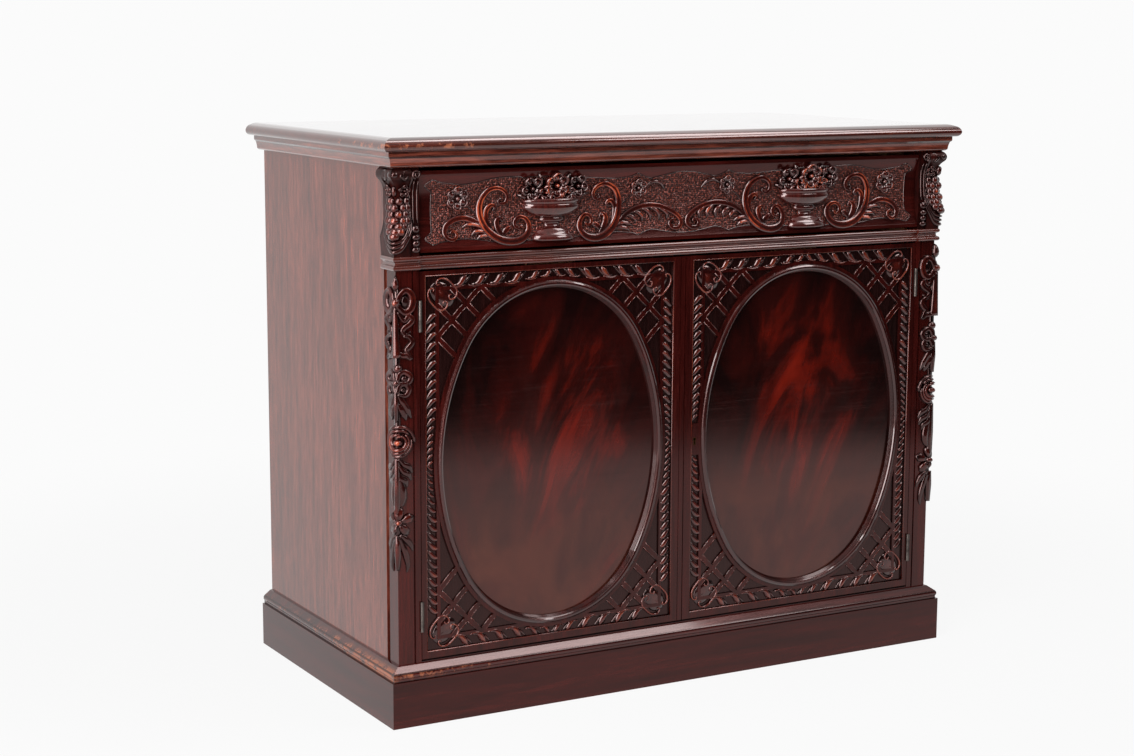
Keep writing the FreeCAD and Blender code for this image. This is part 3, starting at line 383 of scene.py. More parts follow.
def shaded_old_polish(name, polish):
    """Dull dark wood beneath applied carving, painted dark as the shade under it, mottled by grime."""
    graph = new_material(name)
    grime = graph.noise(graph.stretched((60, 60, 25)), 1.0, 5.0, 0.6)
    # Painted shade beneath the carving, mottled by grime
    colour = graph.ramp(grime, (0.35, polish.dark_polish_and_shade), (0.75, (0.03, 0.004, 0.003)))
    graph.finish(Base_Color=colour, Roughness=graph.span(grime, 0.3, 0.7, 0.42, 0.3), Specular_Tint=WARM,
                 Specular_IOR_Level=0.2, Normal=relief_bump(graph, grime, 0.2, 0.0006))


# The flames fan out from below the oval's middle and lean, and glow most a little above it
FLAME_ROOT = 0.5
FLAME_LEAN = 0.3
GLOW_HEIGHT = 0.05


def flame_wood(name, side, polish):
    """Figured veneer: a fan of red flames over a nearly black ground, with fine scratches and a painted reflection of
    the floor in pale patches over its lower half.
    """
    graph = new_material(name)
    x, _, z = graph.parts()
    across = graph.minus(x, side * OVAL_X * MM)
    up = graph.minus(z, OVAL_Z * MM)
    above = graph.plus(up, FLAME_ROOT)
    leaning = graph.minus(across, graph.times(up, FLAME_LEAN))
    angle = graph.math("ARCTAN2", leaning, above)
    reach = graph.math("SQRT", graph.plus(graph.times(across, across), graph.times(above, above)))
    fan = graph.add("CombineXYZ", {"X": graph.times(angle, 4.2), "Y": graph.times(reach, 3.0), "Z": 3.7 + side})
    fan = fan.outputs[0]
    plume = graph.noise(fan, 1.5, 6.0, 0.55, 1.5)
    drawn = graph.add("Mapping", {"Vector": fan, "Scale": (9, 2.4, 1)}).outputs[0]
    strands = graph.noise(drawn, 1.0, 4.0, 0.6, 0.8)
    off = graph.minus(up, GLOW_HEIGHT)
    away = graph.math("SQRT", graph.plus(graph.times(across, graph.times(across, 30.0)),
                                         graph.times(off, graph.times(off, 14.0))))
    glow = graph.span(away, 0.05, 1.05, 1.0, 0.0)
    figure = graph.plus(graph.times(plume, 0.84), graph.times(strands, 0.16))
    figure = graph.times(figure, graph.plus(graph.times(glow, 0.42), 0.7))
    colour = graph.ramp(figure, (0.3, (0.003, 0.0004, 0.0004)), (0.45, (0.014, 0.001, 0.0007)),
                        (0.58, (0.056, 0.0026, 0.001)), (0.78, polish.flame))
    patches = graph.noise(graph.stretched((9, 9, 6)), 1.0, 6.0, 0.6, 0.6)
    # Painted reflection of the floor: pale hazy patches over the lower half of the panel
    painted_floor_reflection = graph.times(graph.span(up, -0.02, -0.16), graph.span(patches, 0.36, 0.7, 0.1, 0.9))
    colour = graph.mix(painted_floor_reflection, colour, (0.04, 0.0095, 0.0045))
    scratch = graph.noise(graph.stretched((9, 9, 900)), 1.0, 2.0, 0.5)
    rough = graph.plus(graph.span(scratch, 0.55, 0.7, polish.gloss, polish.gloss + 0.1),
                       graph.span(patches, 0.4, 0.7, 0.0, 0.06))
    graph.finish(Base_Color=colour, Roughness=rough, Normal=relief_bump(graph, scratch, 0.03, 0.0003),
                 Coat_Weight=0.25, Coat_Roughness=0.12, Specular_Tint=WARM, Specular_IOR_Level=0.68)


STAIN = (0.016, 0.002, 0.0016)
JOINT_SHADE = (0.016, 0.007, 0.003)


def plain_wood(name, axis, lipped=None, joint=None):
    """Unpolished wood; a lipped board is stained in front of a depth, and joints lie that far from the middle."""
    graph = new_material(name)
    rings = graph.noise(graph.stretched(scaled(axis, 4)), 1.0, 5.0, 0.6, 1.2)
    streaks = graph.noise(graph.stretched(scaled(axis, 30)), 1.0, 3.0, 0.6)
    colour = graph.ramp(rings, (0.3, (0.17, 0.075, 0.035)), (0.7, (0.33, 0.17, 0.085)))
    colour = graph.mix(0.5, colour, graph.ramp(streaks, (0.35, (0.55, 0.5, 0.45)), (0.6, WHITE)), "MULTIPLY")
    if lipped is not None:
        front = graph.span(graph.parts()[1], lipped, lipped + 0.0006, 1.0, 0.0)
        colour = graph.mix(front, colour, STAIN)
    if joint is not None:
        beside = graph.math("ABSOLUTE", graph.parts()[0])
        colour = graph.mix(1.0, colour, graph.span(beside, joint - 0.0005, joint + 0.0005, 0.75, 1.0), "MULTIPLY")
        gap = graph.math("ABSOLUTE", graph.minus(beside, joint))
        colour = graph.mix(graph.span(gap, 0.0006, 0.0016, 1.0, 0.0), colour, JOINT_SHADE)
    graph.finish(Base_Color=colour, Roughness=0.62, Normal=relief_bump(graph, streaks, 0.25, 0.0005))


def aged_metal(name, dark, light, rough):
    graph = new_material(name)
    stain = graph.noise(graph.stretched((55, 55, 55)), 1.0, 5.0, 0.65)
    colour = graph.ramp(stain, (0.32, dark), (0.68, light))
    graph.finish(Base_Color=colour, Metallic=1.0, Roughness=graph.span(stain, 0.3, 0.7, rough + 0.2, rough),
                 Normal=relief_bump(graph, stain, 0.15, 0.0004))


# Carving tools

def eased(values, share):
    """A value between evenly spaced stops."""
    place = share * (len(values) - 1)
    index = min(int(place), len(values) - 2)
    part = place - index
    return values[index] * (1 - part) + values[index + 1] * part


def curved(points, steps=5):
    """A smooth line through the given places."""
    line = [Vector(point) for point in points]
    line = [2 * line[0] - line[1], *line, 2 * line[-1] - line[-2]]
    made = []
    for a, b, c, d in zip(line, line[1:], line[2:], line[3:]):
        for step in range(steps):
            t = step / steps
            made.append((2 * b + (c - a) * t + (2 * a - 5 * b + 4 * c - d) * t * t
                         + (3 * b - a - 3 * c + d) * t ** 3) / 2)
    made.append(line[-2])
    return made


def spiral(centre, wide, narrow, start, turns, steps=14):
    """A line that winds inwards; start is in degrees and negative turns run clockwise."""
    count = max(4, int(abs(turns) * steps))
    made = []
    for index in range(count + 1):
        share = index / count
        angle = math.radians(start + 360 * turns * share)
        radius = wide + (narrow - wide) * share
        made.append(Vector((centre[0] + radius * math.cos(angle), centre[1] + radius * math.sin(angle))))
    return made


def heights(rise):
    """Turns shares of a rise into heights."""
    return lambda *parts: [rise * part for part in parts]


class Bench:
    """A flat board on which closed carved forms are laid out before they go on their ground."""

    def __init__(self):
        self.mesh = bmesh.new()

    def bead(self, place, long, wide, rise, turn=0.0, taper=0.0, bend=0.0, segments=8, rings=6):
        """A rounded form; taper narrows its upper end, and turn leans it clockwise in degrees."""
        made = bmesh.ops.create_uvsphere(self.mesh, u_segments=segments, v_segments=rings, radius=1)["verts"]
        for vert in made:
            share = (vert.co.z + 1) / 2
            narrow = 1 - taper * share
            vert.co.x = vert.co.x * wide * narrow + bend * share * share
            vert.co.y *= rise * (1 - 0.45 * taper * share)
            vert.co.z *= long
        bmesh.ops.rotate(self.mesh, verts=made, cent=(0, 0, 0),
                         matrix=Matrix.Rotation(math.radians(turn), 3, "Y"))
        bmesh.ops.translate(self.mesh, verts=made, vec=(place[0], 0, place[1]))

    def stroke(self, line, widths, rises, sides=8, groove=0.0):
        """A rounded ridge swept along a line; widths are half widths, and a groove sinks its crest."""
        edges, last = [], None
        for index, place in enumerate(line):
            ahead = line[min(index + 1, len(line) - 1)] - line[max(index - 1, 0)]
            ahead = ahead.normalized()
            share = index / (len(line) - 1)
            wide, rise = eased(widths, share), eased(rises, share)
            frame_now = Matrix(((-ahead.y * wide, 0, ahead.x, place[0]), (0, rise, 0, 0),
                                (ahead.x * wide, 0, ahead.y, place[1]), (0, 0, 0, 1)))
            if last is None:
                ring = bmesh.ops.create_circle(self.mesh, cap_ends=True, segments=sides, radius=1,
                                               matrix=frame_now)["verts"]
                edges = list({edge for vert in ring for edge in vert.link_edges})
                for vert in ring:
                    if vert.co.y > 0.9 * rise:
                        vert.co.y *= 1 - groove
            else:
                made = bmesh.ops.extrude_edge_only(self.mesh, edges=edges)["geom"]
                ring = [part for part in made if isinstance(part, bmesh.types.BMVert)]
                inside = set(ring)
                edges = [part for part in made if isinstance(part, bmesh.types.BMEdge)
                         and part.verts[0] in inside and part.verts[1] in inside]
                bmesh.ops.transform(self.mesh, matrix=frame_now @ last.inverted(), verts=ring)
            last = frame_now
        bmesh.ops.contextual_create(self.mesh, geom=edges)

    def flower(self, centre, radius, petals, rise, start=90.0):
        """Cupped petals, each with a raised rim, about a domed eye."""
        for index in range(petals):
            angle = math.radians(start + 360 * index / petals)
            middle = (centre[0] + radius * 0.6 * math.cos(angle), centre[1] + radius * 0.6 * math.sin(angle))
            self.bead(middle, radius * 0.38, radius * 0.34, rise * 0.78, 90 - math.degrees(angle), -0.2)
            rim = spiral(middle, radius * 0.36, radius * 0.36, math.degrees(angle) - 135, 0.75, 11)
            self.stroke(rim, (0.06 * radius, 0.1 * radius, 0.06 * radius), (rise * 0.75, rise, rise * 0.75), 6)
        self.bead(centre, radius * 0.22, radius * 0.22, rise * 1.05)

    def mirrored(self, across=True):
        """Adds the mirror image of everything so far."""
        everything = self.mesh.verts[:] + self.mesh.edges[:] + self.mesh.faces[:]
        made = bmesh.ops.duplicate(self.mesh, geom=everything)["geom"]
        verts = [part for part in made if isinstance(part, bmesh.types.BMVert)]
        bmesh.ops.scale(self.mesh, vec=(-1, 1, 1) if across else (1, 1, -1), verts=verts)

    def take(self, other):
        """Adds what lies on another bench."""
        sheet = bpy.data.meshes.new("taken")
        other.mesh.to_mesh(sheet)
        other.mesh.free()
        self.mesh.from_mesh(sheet)
        bpy.data.meshes.remove(sheet)

    def sprig(self, across, up, size, bow, widths, rises):
        """A short ridge along a bow, given about a place and scaled by a size."""
        line = curved([(across + a * size, up + b * size) for a, b in bow], 2)
        self.stroke(line, widths, rises, 6)

    def shifted(self, across, up):
        bmesh.ops.translate(self.mesh, verts=self.mesh.verts[:], vec=(across, 0, up))

    def finish(self, name, body, material, lay, full):
        """Lays the carving on its ground as one piece on a body; relief runs from 0 to 1 at the full height."""
        mesh = self.mesh
        relief = mesh.verts.layers.float.new("relief")
        for vert in mesh.verts:
            rise = max(vert.co.y, -SINK)
            vert[relief] = min(1, max(0, rise / full))
            vert.co = Vector(lay(vert.co.x, vert.co.z, rise)) * MM
        return finished(name, mesh, body, material)


def placed(name, mesh, material):
    """Turns a bmesh into an object of the scene."""
    data = bpy.data.meshes.new(name)
    mesh.to_mesh(data)
    mesh.free()
    data.materials.append(bpy.data.materials[material])
    piece = bpy.data.objects.new(name, data)
    bpy.context.scene.collection.objects.link(piece)
    return piece


def finished(name, mesh, body, material, smooth=True):
    """Turns a bmesh into a piece on a CAD body."""
    bmesh.ops.recalc_face_normals(mesh, faces=mesh.faces[:])
    for face in mesh.faces:
        face.smooth = smooth
    piece = placed(name, mesh, material)
    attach(piece, body)
    return piece


# Grounds that carving is laid on

HOLLOW_LIP = CORNER_Y
HOLLOW_DEPTH = 10.0
HOLLOW_EDGE = 6.0


def on_drawer(across, up, rise):
    """The drawer's hollow front."""
    half = (DRAWER_HIGH.z - DRAWER_LOW.z) / 2 - HOLLOW_EDGE
    radius = (half * half + HOLLOW_DEPTH ** 2) / (2 * HOLLOW_DEPTH)
    off = up - (DRAWER_LOW.z + DRAWER_HIGH.z) / 2
    sunk = math.sqrt(radius * radius - min(abs(off), half) ** 2) - radius + HOLLOW_DEPTH
    return across, HOLLOW_LIP + sunk - rise, up


FIELD_DEPTH = 4.0


def on_field(across, up, rise):
    """A door's sunk field."""
    return across, CORNER_Y + FIELD_DEPTH - rise, up


ROUNDING = 7.0
CORNER_REACH = 0.25


def round_corner(hand, profile):
    """The wrapped corner of a post; across runs from the edge inwards over the front, minus over the side."""
    def lay(across, up, rise):
        turn = (min(1, max(-1, across / ROUNDING)) + 1) / 2 * math.pi / 2
        out = (rise + profile(up)) * (1 + CORNER_REACH * math.sin(2 * turn))
        x = CORNER_X - max(across, 0) + out * math.cos(turn)
        y = CORNER_Y + max(-across, 0) - out * math.sin(turn)
        return hand * x, y, up
    return lay


CORBEL_STOPS = ((763, 4.5), (793, 6.5), (806, 4.6), (822, 2.2), (840, 0.5), (866, 0.5), (874, 3.2),
                (883, 9.0), (889, 10.6), (896, 9.2), (902, 6.0))
# Height at which a corbel's carving counts as fully raised
CORBEL_FULL = 7.8


def corbel_swell(up):
    """How far the corbel's face stands off the post."""
    for (low, first), (high, second) in zip(CORBEL_STOPS, CORBEL_STOPS[1:]):
        if up <= high:
            share = min(1, max(0, (up - low) / (high - low)))
            return first + (second - first) * share
    return CORBEL_STOPS[-1][1]


# Doors

FIELD_HALF_WIDTH = 232.0
FIELD_HALF_HEIGHT = 307.0
SIDE_ARC = (391.5, -191.5)
END_ARC = (175.0, 101.0)
LAND_OFFSET = 18.5
CARTOUCHE = 62.0


def side_room(up):
    """Room beside the oval at a height from its middle."""
    radius, centre = SIDE_ARC[0] + LAND_OFFSET, SIDE_ARC[1]
    return FIELD_HALF_WIDTH - centre - math.sqrt(radius * radius - up * up)


def end_room(across):
    """Room above the oval at a distance from its middle."""
    radius, centre = END_ARC[0] + LAND_OFFSET, END_ARC[1]
    return FIELD_HALF_HEIGHT - centre - math.sqrt(max(0, radius * radius - across * across))


def corner_scroll(bench, swap, rise):
    """One of the two scrolls of a corner cartouche, drawn from the field's corner."""
    places = [(25, 14), (21, 15), (20, 11), (24, 6), (32, 5), (40, 8), (48, 15), (55, 23), (56, 31), (51, 38),
              (44, 39), (42, 33), (46, 31)]
    line = [(-FIELD_HALF_WIDTH + (b if swap else a), FIELD_HALF_HEIGHT - (a if swap else b)) for a, b in places]
    bench.stroke(curved(line), (1.3, 1.7, 2.2, 2.2, 1.9, 1.3), (rise, rise * 1.05, rise))


TRELLIS_PITCH = 26.0
TRELLIS_CENTRE = 60.0
TRELLIS_RISE = 3.0
TRELLIS_LIP = 4.0
TRELLIS_REACH = 91
LINE_HALF = 1.1
LINE_RISE = 0.9
BORDER_WIDTH = 23.0
BORDER_FULL = 4.4


def in_spandrel(across, up):
    """Whether a place of the upper left quarter lies between the border and the oval's land."""
    if across < -FIELD_HALF_WIDTH + BORDER_WIDTH or up > FIELD_HALF_HEIGHT - BORDER_WIDTH:
        return False
    return FIELD_HALF_WIDTH + across < side_room(up) - 1 or FIELD_HALF_HEIGHT - up < end_room(across) - 1


def raised_line(bench, line, ground):
    """A fine line that stands a little above its ground."""
    bench.stroke(line, (LINE_HALF, LINE_HALF), (ground + LINE_RISE,) * 2, 6)


def trellis_lips(bench):
    """Fine raised edges along the crossed strips of the upper left spandrel, broken where strips meet."""
    slant = math.sqrt(0.5)
    middle = Vector((-FIELD_HALF_WIDTH + TRELLIS_CENTRE, FIELD_HALF_HEIGHT - TRELLIS_CENTRE))
    strips = [(middle, Vector((slant, slant)))]
    for index in range(4):
        step = (index - 1.5) * TRELLIS_PITCH
        strips.append((middle + Vector((step, step)), Vector((slant, -slant))))
    for number, (start, way) in enumerate(strips):
        others = strips[1:] if number == 0 else strips[:1]
        for edge in (-1, 1):
            line = []
            for place in range(1 - TRELLIS_REACH, TRELLIS_REACH + 1):
                at = start + way * place + way.orthogonal() * edge * TRELLIS_LIP
                clear = all(abs((at - other).dot(along.orthogonal())) > TRELLIS_LIP + 0.6 for other, along in others)
                if clear and place < TRELLIS_REACH and in_spandrel(*at):
                    line.append(at)
                    continue
                if len(line) > 4:
                    raised_line(bench, [line[0], line[len(line) // 2], line[-1]], TRELLIS_RISE)
                line = []


LOCK_PLAIN = 34.0


def side_ribs(settings, lowest):
    """Slanting ribs along the left edge, from a lowest height to the cartouche and the same below."""
    bench = Bench()
    rise = settings.border_rise / MM
    up = FIELD_HALF_HEIGHT - CARTOUCHE - 6
    while up > lowest:
        size = min(1.0, (side_room(max(0, up - 6)) - 1.5) / 20)
        bench.sprig(-FIELD_HALF_WIDTH, up, size, [(0.8, -9), (6, -4.5), (12, 2.5), (17, 5), (20, 4)],
                    (1.8, 4.8 * size, 5.6 * size, 4.4 * size, 1.8), (1.6, rise * 0.8, rise, rise * 0.8))
        up -= settings.rib_pitch / MM * max(0.72, size)
    bench.mirrored(False)
    return bench


def end_leaves(bench, settings):
    """Leaves, veins and scallops along the left half of the top edge."""
    rise = settings.border_rise / MM
    top = FIELD_HALF_HEIGHT
    across = -FIELD_HALF_WIDTH + CARTOUCHE + 2
    while across < -8:
        size = min(1.0, (end_room(across + 4) - 1.5) / 18)
        bench.sprig(across, top, size, [(-13, -17), (-5, -17.5), (1, -13.5), (5, -7), (10, -1)],
                    (1.4, 4 * size, 6.2 * size, 6.4 * size, 2), (1.8, rise, rise, rise * 0.8))
        bench.sprig(across, top, size, [(5, -17), (9, -12), (14, -6), (19, -1)],
                    (1.2, 2.6 * size, 1.4), (1.2, rise * 0.7, 1.2))
        bench.sprig(across, top, size, [(-20, -17.6), (-12, -20), (-3, -19.6), (7, -17)],
                    (1.0, 1.7 * size, 1.5 * size, 1.0), (rise * 0.9, rise * 1.1, rise * 0.9))
        across += settings.leaf_pitch / MM * max(0.75, size)


def door_carving(settings, lock_side):
    """Ribs, leaves and cartouches of one door about the middle of its oval; the lock side stays plain by the key."""
    left_ribs = side_ribs(settings, LOCK_PLAIN if lock_side else 0)
    ribs = side_ribs(settings, 0)
    bmesh.ops.scale(ribs.mesh, vec=(-1, 1, 1), verts=ribs.mesh.verts[:])
    ribs.take(left_ribs)
    bench = Bench()
    end_leaves(bench, settings)
    rise = settings.border_rise / MM
    wide, tall = FIELD_HALF_WIDTH, FIELD_HALF_HEIGHT
    for swap in (False, True):
        corner_scroll(bench, swap, rise * 1.05)
    bench.bead((31 - wide, tall - 31), 25, 19, rise * 0.72, 135, 0.1, segments=12, rings=8)
    bench.bead((27 - wide, tall - 27), 9, 4, rise * 0.9, 135, 0.5)
    trellis_lips(bench)
    bench.mirrored(True)
    bench.mirrored(False)
    bench.take(ribs)
    for sign in (-1, 1):
        edge = sign * (wide + 0.4)
        raised_line(bench, [Vector((edge, -tall)), Vector((edge, tall))], FIELD_DEPTH)
        edge = sign * (tall + 0.4)
        raised_line(bench, [Vector((-wide, edge)), Vector((wide, edge))], FIELD_DEPTH)
    return bench


class CHIFFONIER_OT_door_carving(bpy.types.Operator):
    """Carve the ribbed borders and corner scrolls of both doors"""
    bl_idname = "chiffonier.door_carving"
    bl_label = "Carve Doors"

    def execute(self, context):
        for word, side in SIDES:
            bench = door_carving(context.scene.chiffonier_carving, side > 0)
            bench.shifted(side * OVAL_X, OVAL_Z)
            bench.finish(f"door_{word}_carving", f"door_{word}", "border mahogany", on_field, BORDER_FULL)
        return {"FINISHED"}


# Drawer

def drawer_scrolls(bench, rise):
    """The scrolls, leaves and flowers beside the left urn, with places read along the drawer."""
    high = heights(rise)
    outer = [(-347, 848), (-351, 843), (-346, 839), (-338, 842), (-336, 851), (-342, 860), (-354, 865), (-368, 863),
             (-379, 853), (-385, 838), (-384, 821), (-377, 804), (-366, 792), (-351, 783), (-334, 779), (-318, 780),
             (-306, 785), (-298, 794), (-297, 806), (-304, 815), (-315, 817), (-323, 810), (-322, 802), (-315, 799),
             (-310, 804)]
    inner = [(-165, 849), (-161, 844), (-166, 840), (-174, 843), (-176, 852), (-170, 861), (-158, 866), (-145, 863),
             (-133, 854), (-127, 839), (-127, 822), (-132, 806), (-142, 792), (-157, 782), (-173, 778), (-188, 780),
             (-198, 787), (-203, 798), (-199, 810), (-190, 817), (-181, 811), (-181, 802), (-188, 799), (-192, 804)]
    for places in (outer, inner):
        bench.stroke(curved(places), (1.6, 2.8, 4.4, 6.6, 8.2, 7.8, 5.4, 3.2, 1.9),
                     high(0.8, 1, 1.15, 1.1, 1, 1, 1.2, 1.1), 12, 0.5)
    leaves = [
        [(-360, 793), (-372, 812), (-373, 829), (-364, 838), (-357, 833), (-361, 828)],
        [(-338, 783), (-351, 796), (-355, 811), (-348, 817), (-344, 810)],
        [(-345, 788), (-338, 797), (-331, 801), (-333, 793)],
        [(-144, 793), (-134, 812), (-134, 829), (-143, 838), (-150, 833), (-146, 828)],
        [(-166, 783), (-156, 796), (-152, 811), (-159, 817), (-163, 810)],
        [(-160, 788), (-168, 797), (-175, 801), (-173, 793)],
    ]
    for places in leaves:
        bench.stroke(curved(places), (2.4, 6.0, 5.4, 3.2, 1.6), high(0.5, 1, 1.1, 0.8), 12, 0.45)
    tail = [(-366, 791), (-378, 803), (-394, 813), (-412, 819), (-430, 817), (-444, 809), (-449, 798), (-444, 788),
            (-434, 786), (-428, 793), (-433, 800), (-439, 796)]
    bench.stroke(curved(tail), (2.6, 6.2, 6.0, 4.4, 2.8, 1.7), high(0.7, 1, 1, 1.1, 1), 12, 0.45)
    for places in ([(-374, 797), (-388, 806), (-404, 809), (-417, 804)],
                   [(-370, 792), (-382, 797), (-394, 797), (-401, 791)],
                   [(-366, 788), (-376, 790), (-386, 789), (-392, 784)]):
        bench.stroke(curved(places), (1.4, 4.4, 4.4, 1.0), high(0.5, 0.9, 1, 0.5))
    arch = [(-133, 792), (-124, 803), (-110, 815), (-92, 823), (-70, 827), (-48, 825), (-28, 818), (-12, 808),
            (-6, 797), (-12, 788), (-24, 788), (-29, 796), (-22, 802), (-17, 797)]
    bench.stroke(curved(arch), (2.2, 5.0, 5.8, 5.6, 4.8, 4.0, 2.8, 1.7), high(0.7, 1, 1, 1, 1.1), 12, 0.45)
    for x, top, reach in ((-110, 812, 10), (-96, 818, 13), (-80, 822, 15), (-63, 823, 16), (-47, 821, 14)):
        places = [(x, top), (x + 9, top - reach * 0.25), (x + 15, top - reach * 0.7), (x + 15, top - reach * 1.35)]
        bench.stroke(curved(places, 4), (2.2, 4.4, 4.0, 0.9), high(0.7, 0.95, 0.9, 0.4))
    for places in ([(-134, 795), (-122, 800), (-110, 799), (-101, 794)],
                   [(-136, 790), (-124, 793), (-114, 791), (-107, 786)]):
        bench.stroke(curved(places), (1.4, 4.2, 4.4, 1.0), high(0.5, 1, 1, 0.5))
    bench.flower((-424, 850), 20, 6, rise)
    bench.flower((-88, 856), 16, 6, rise)
    for places in ([(-411, 842), (-396, 829), (-380, 810)], [(-98, 847), (-110, 838), (-124, 824)]):
        bench.stroke(curved(places), (1.0, 1.3, 1.6), (2.2, 2.6, 3.4), 6)
    bench.stroke(curved([(-73, 860), (-60, 866), (-46, 863), (-36, 852)]), (1.8, 3.8, 3.6, 1.0),
                 (*high(0.6, 0.8, 0.8), 2))


GROUND_HALF = 470.0
GROUND_TALL = 51.0
GROUND_MIDDLE = 830.0
GROUND_WAVES = ((0, 0), (20, -1), (45, -6), (64, -10), (76, -6.5), (90, 0), (104, -5), (130, -8), (177, -5),
                (230, -1.5), (252, 0.5), (298, 0), (306, -2), (314, 0.5), (330, 1.2), (346, 0.9), (361, -0.4),
                (376, -3.3), (391, -6.6), (406, -8.3), (421, -9), (436, -7), (456, -4.4), (466, 0), (490, 0))
GROUND_GRID = (440, 50)
# Multipliers that scatter the heights of the punch marks
SCATTER = (127.1, 311.7, 43758.5453)


def ground_wave(across):
    """How far the scalloped edge of the ground stands out at a distance from the drawer's middle."""
    for (near, first), (far, second) in zip(GROUND_WAVES, GROUND_WAVES[1:]):
        if across <= far:
            return first + (second - first) * (across - near) / (far - near)
    return 0.0


def ground_place(share_x, share_z):
    """A place on the punched ground, whose outline is scalloped."""
    lobe = 12 * max(0, math.cos((abs(share_z) - 0.82) * 7)) ** 2 if abs(share_z) > 0.58 else 0
    x = share_x * (GROUND_HALF + lobe * abs(share_x) ** 6)
    return x, GROUND_MIDDLE + share_z * (GROUND_TALL + ground_wave(abs(x)) * (1.0 if share_z > 0 else 0.8))


def punched_ground(depth):
    """A sheet of punch marks with a scalloped edge."""
    mesh = bmesh.new()
    columns, rows = GROUND_GRID
    bmesh.ops.create_grid(mesh, x_segments=columns, y_segments=rows, size=1)
    relief = mesh.verts.layers.float.new("relief")
    for vert in mesh.verts:
        column = round((vert.co.x + 1) / 2 * columns)
        row = round((vert.co.y + 1) / 2 * rows)
        raised = math.sin(column * SCATTER[0] + row * SCATTER[1]) * SCATTER[2] % 1
        vert[relief] = raised
        x, z = ground_place(vert.co.x, vert.co.y)
        vert.co = Vector(on_drawer(x, z, 0.25 + raised * depth)) * MM
    return finished("drawer_punched_ground", mesh, "drawer", "punched mahogany", False)


class CHIFFONIER_OT_drawer_carving(bpy.types.Operator):
    """Carve the drawer's scrolls, leaves and flowers on their punched ground"""
    bl_idname = "chiffonier.drawer_carving"
    bl_label = "Carve Drawer"

    def execute(self, context):
        carving = context.scene.chiffonier_carving
        bench = Bench()
        drawer_scrolls(bench, carving.scroll_rise / MM)
        bench.mirrored(True)
        long = [[ground_place(x / 120, sign) for x in range(-120, 121)] for sign in (1, -1)]
        short = [[ground_place(sign, z / 20) for z in range(-20, 21)] for sign in (-1, 1)]
        for line in long + short:
            bench.stroke([Vector(place) for place in line], (1.0, 1.0), (1.5, 1.5), 6)
        bench.finish("drawer_scrolls", "drawer", "carved mahogany", on_drawer, carving.scroll_rise / MM * 0.98)
        punched_ground(carving.punch_depth / MM)
        return {"FINISHED"}


# Urns

URN_PROFILE = ((0, 778), (38, 778), (39.5, 781), (39, 785), (36, 788), (33.5, 789), (32, 792), (28, 796), (24, 798),
               (15, 799), (14, 802), (14.5, 806.5), (22, 808), (23.5, 811), (22, 814.5), (20, 815.5), (33, 816.5),
               (41, 819), (48, 823.5), (51.5, 827), (53.5, 829.5), (54, 832.5), (53, 835.5), (50.5, 837), (53, 838.5),
               (54.5, 841.5), (53, 844.5), (47, 845.5), (0, 846))
URN_DEPTH = 0.42
URN_PLACE = 252.0
URN_FULL = 20
FLOWER_FULL = 18


def turned_urn(bench):
    """A lathe-turned urn, flattened into relief."""
    mesh = bench.mesh
    line = [mesh.verts.new((x, 0, z)) for x, z in URN_PROFILE]
    edges = [mesh.edges.new(pair) for pair in zip(line, line[1:])]
    bmesh.ops.spin(mesh, geom=line + edges, cent=(0, 0, 0), axis=(0, 0, 1), angle=2 * math.pi, steps=36,
                   use_merge=True)
    bmesh.ops.remove_doubles(mesh, verts=mesh.verts[:], dist=0.01)
    bmesh.ops.scale(mesh, vec=(1, URN_DEPTH, 1), verts=mesh.verts[:])


def flower_heap(bench):
    """Flowers and leaves heaped over the rim, the nearest highest."""
    for x, z, radius, rise, petals in ((-40, 862, 20, 15, 5), (44, 864, 19, 15, 5), (3, 866, 21, 19, 6),
                                       (-18, 855, 12, 20, 4), (24, 854, 12, 20, 4)):
        bench.flower((x, z), radius, petals, rise, 90 + x)
    for x, z, turn, rise in ((-57, 850, -70, 13), (56, 850, 70, 13), (-34, 847, -128, 19), (36, 847, 128, 19),
                             (-8, 847, -160, 21), (12, 847, 160, 21), (-24, 878, -25, 10), (26, 878, 25, 10)):
        bench.bead((x, z), 10, 5.5, rise, turn, 0.5)


class CHIFFONIER_OT_urns(bpy.types.Operator):
    """Turn the two urns and heap them with flowers"""
    bl_idname = "chiffonier.urns"
    bl_label = "Make Urns"

    def execute(self, context):
        for word, side in SIDES:
            bench = Bench()
            turned_urn(bench)
            bench.shifted(side * URN_PLACE, 0)
            urn = bench.finish(f"urn_{word}_bowl", "drawer", "urn mahogany", on_drawer, URN_FULL)
            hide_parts(f"urn_{word}")
            bench = Bench()
            flower_heap(bench)
            bench.shifted(side * URN_PLACE, 0)
            bench.finish(f"urn_{word}_flowers", "drawer", "carved mahogany", on_drawer, FLOWER_FULL)
        return {"FINISHED"}


# Corbels

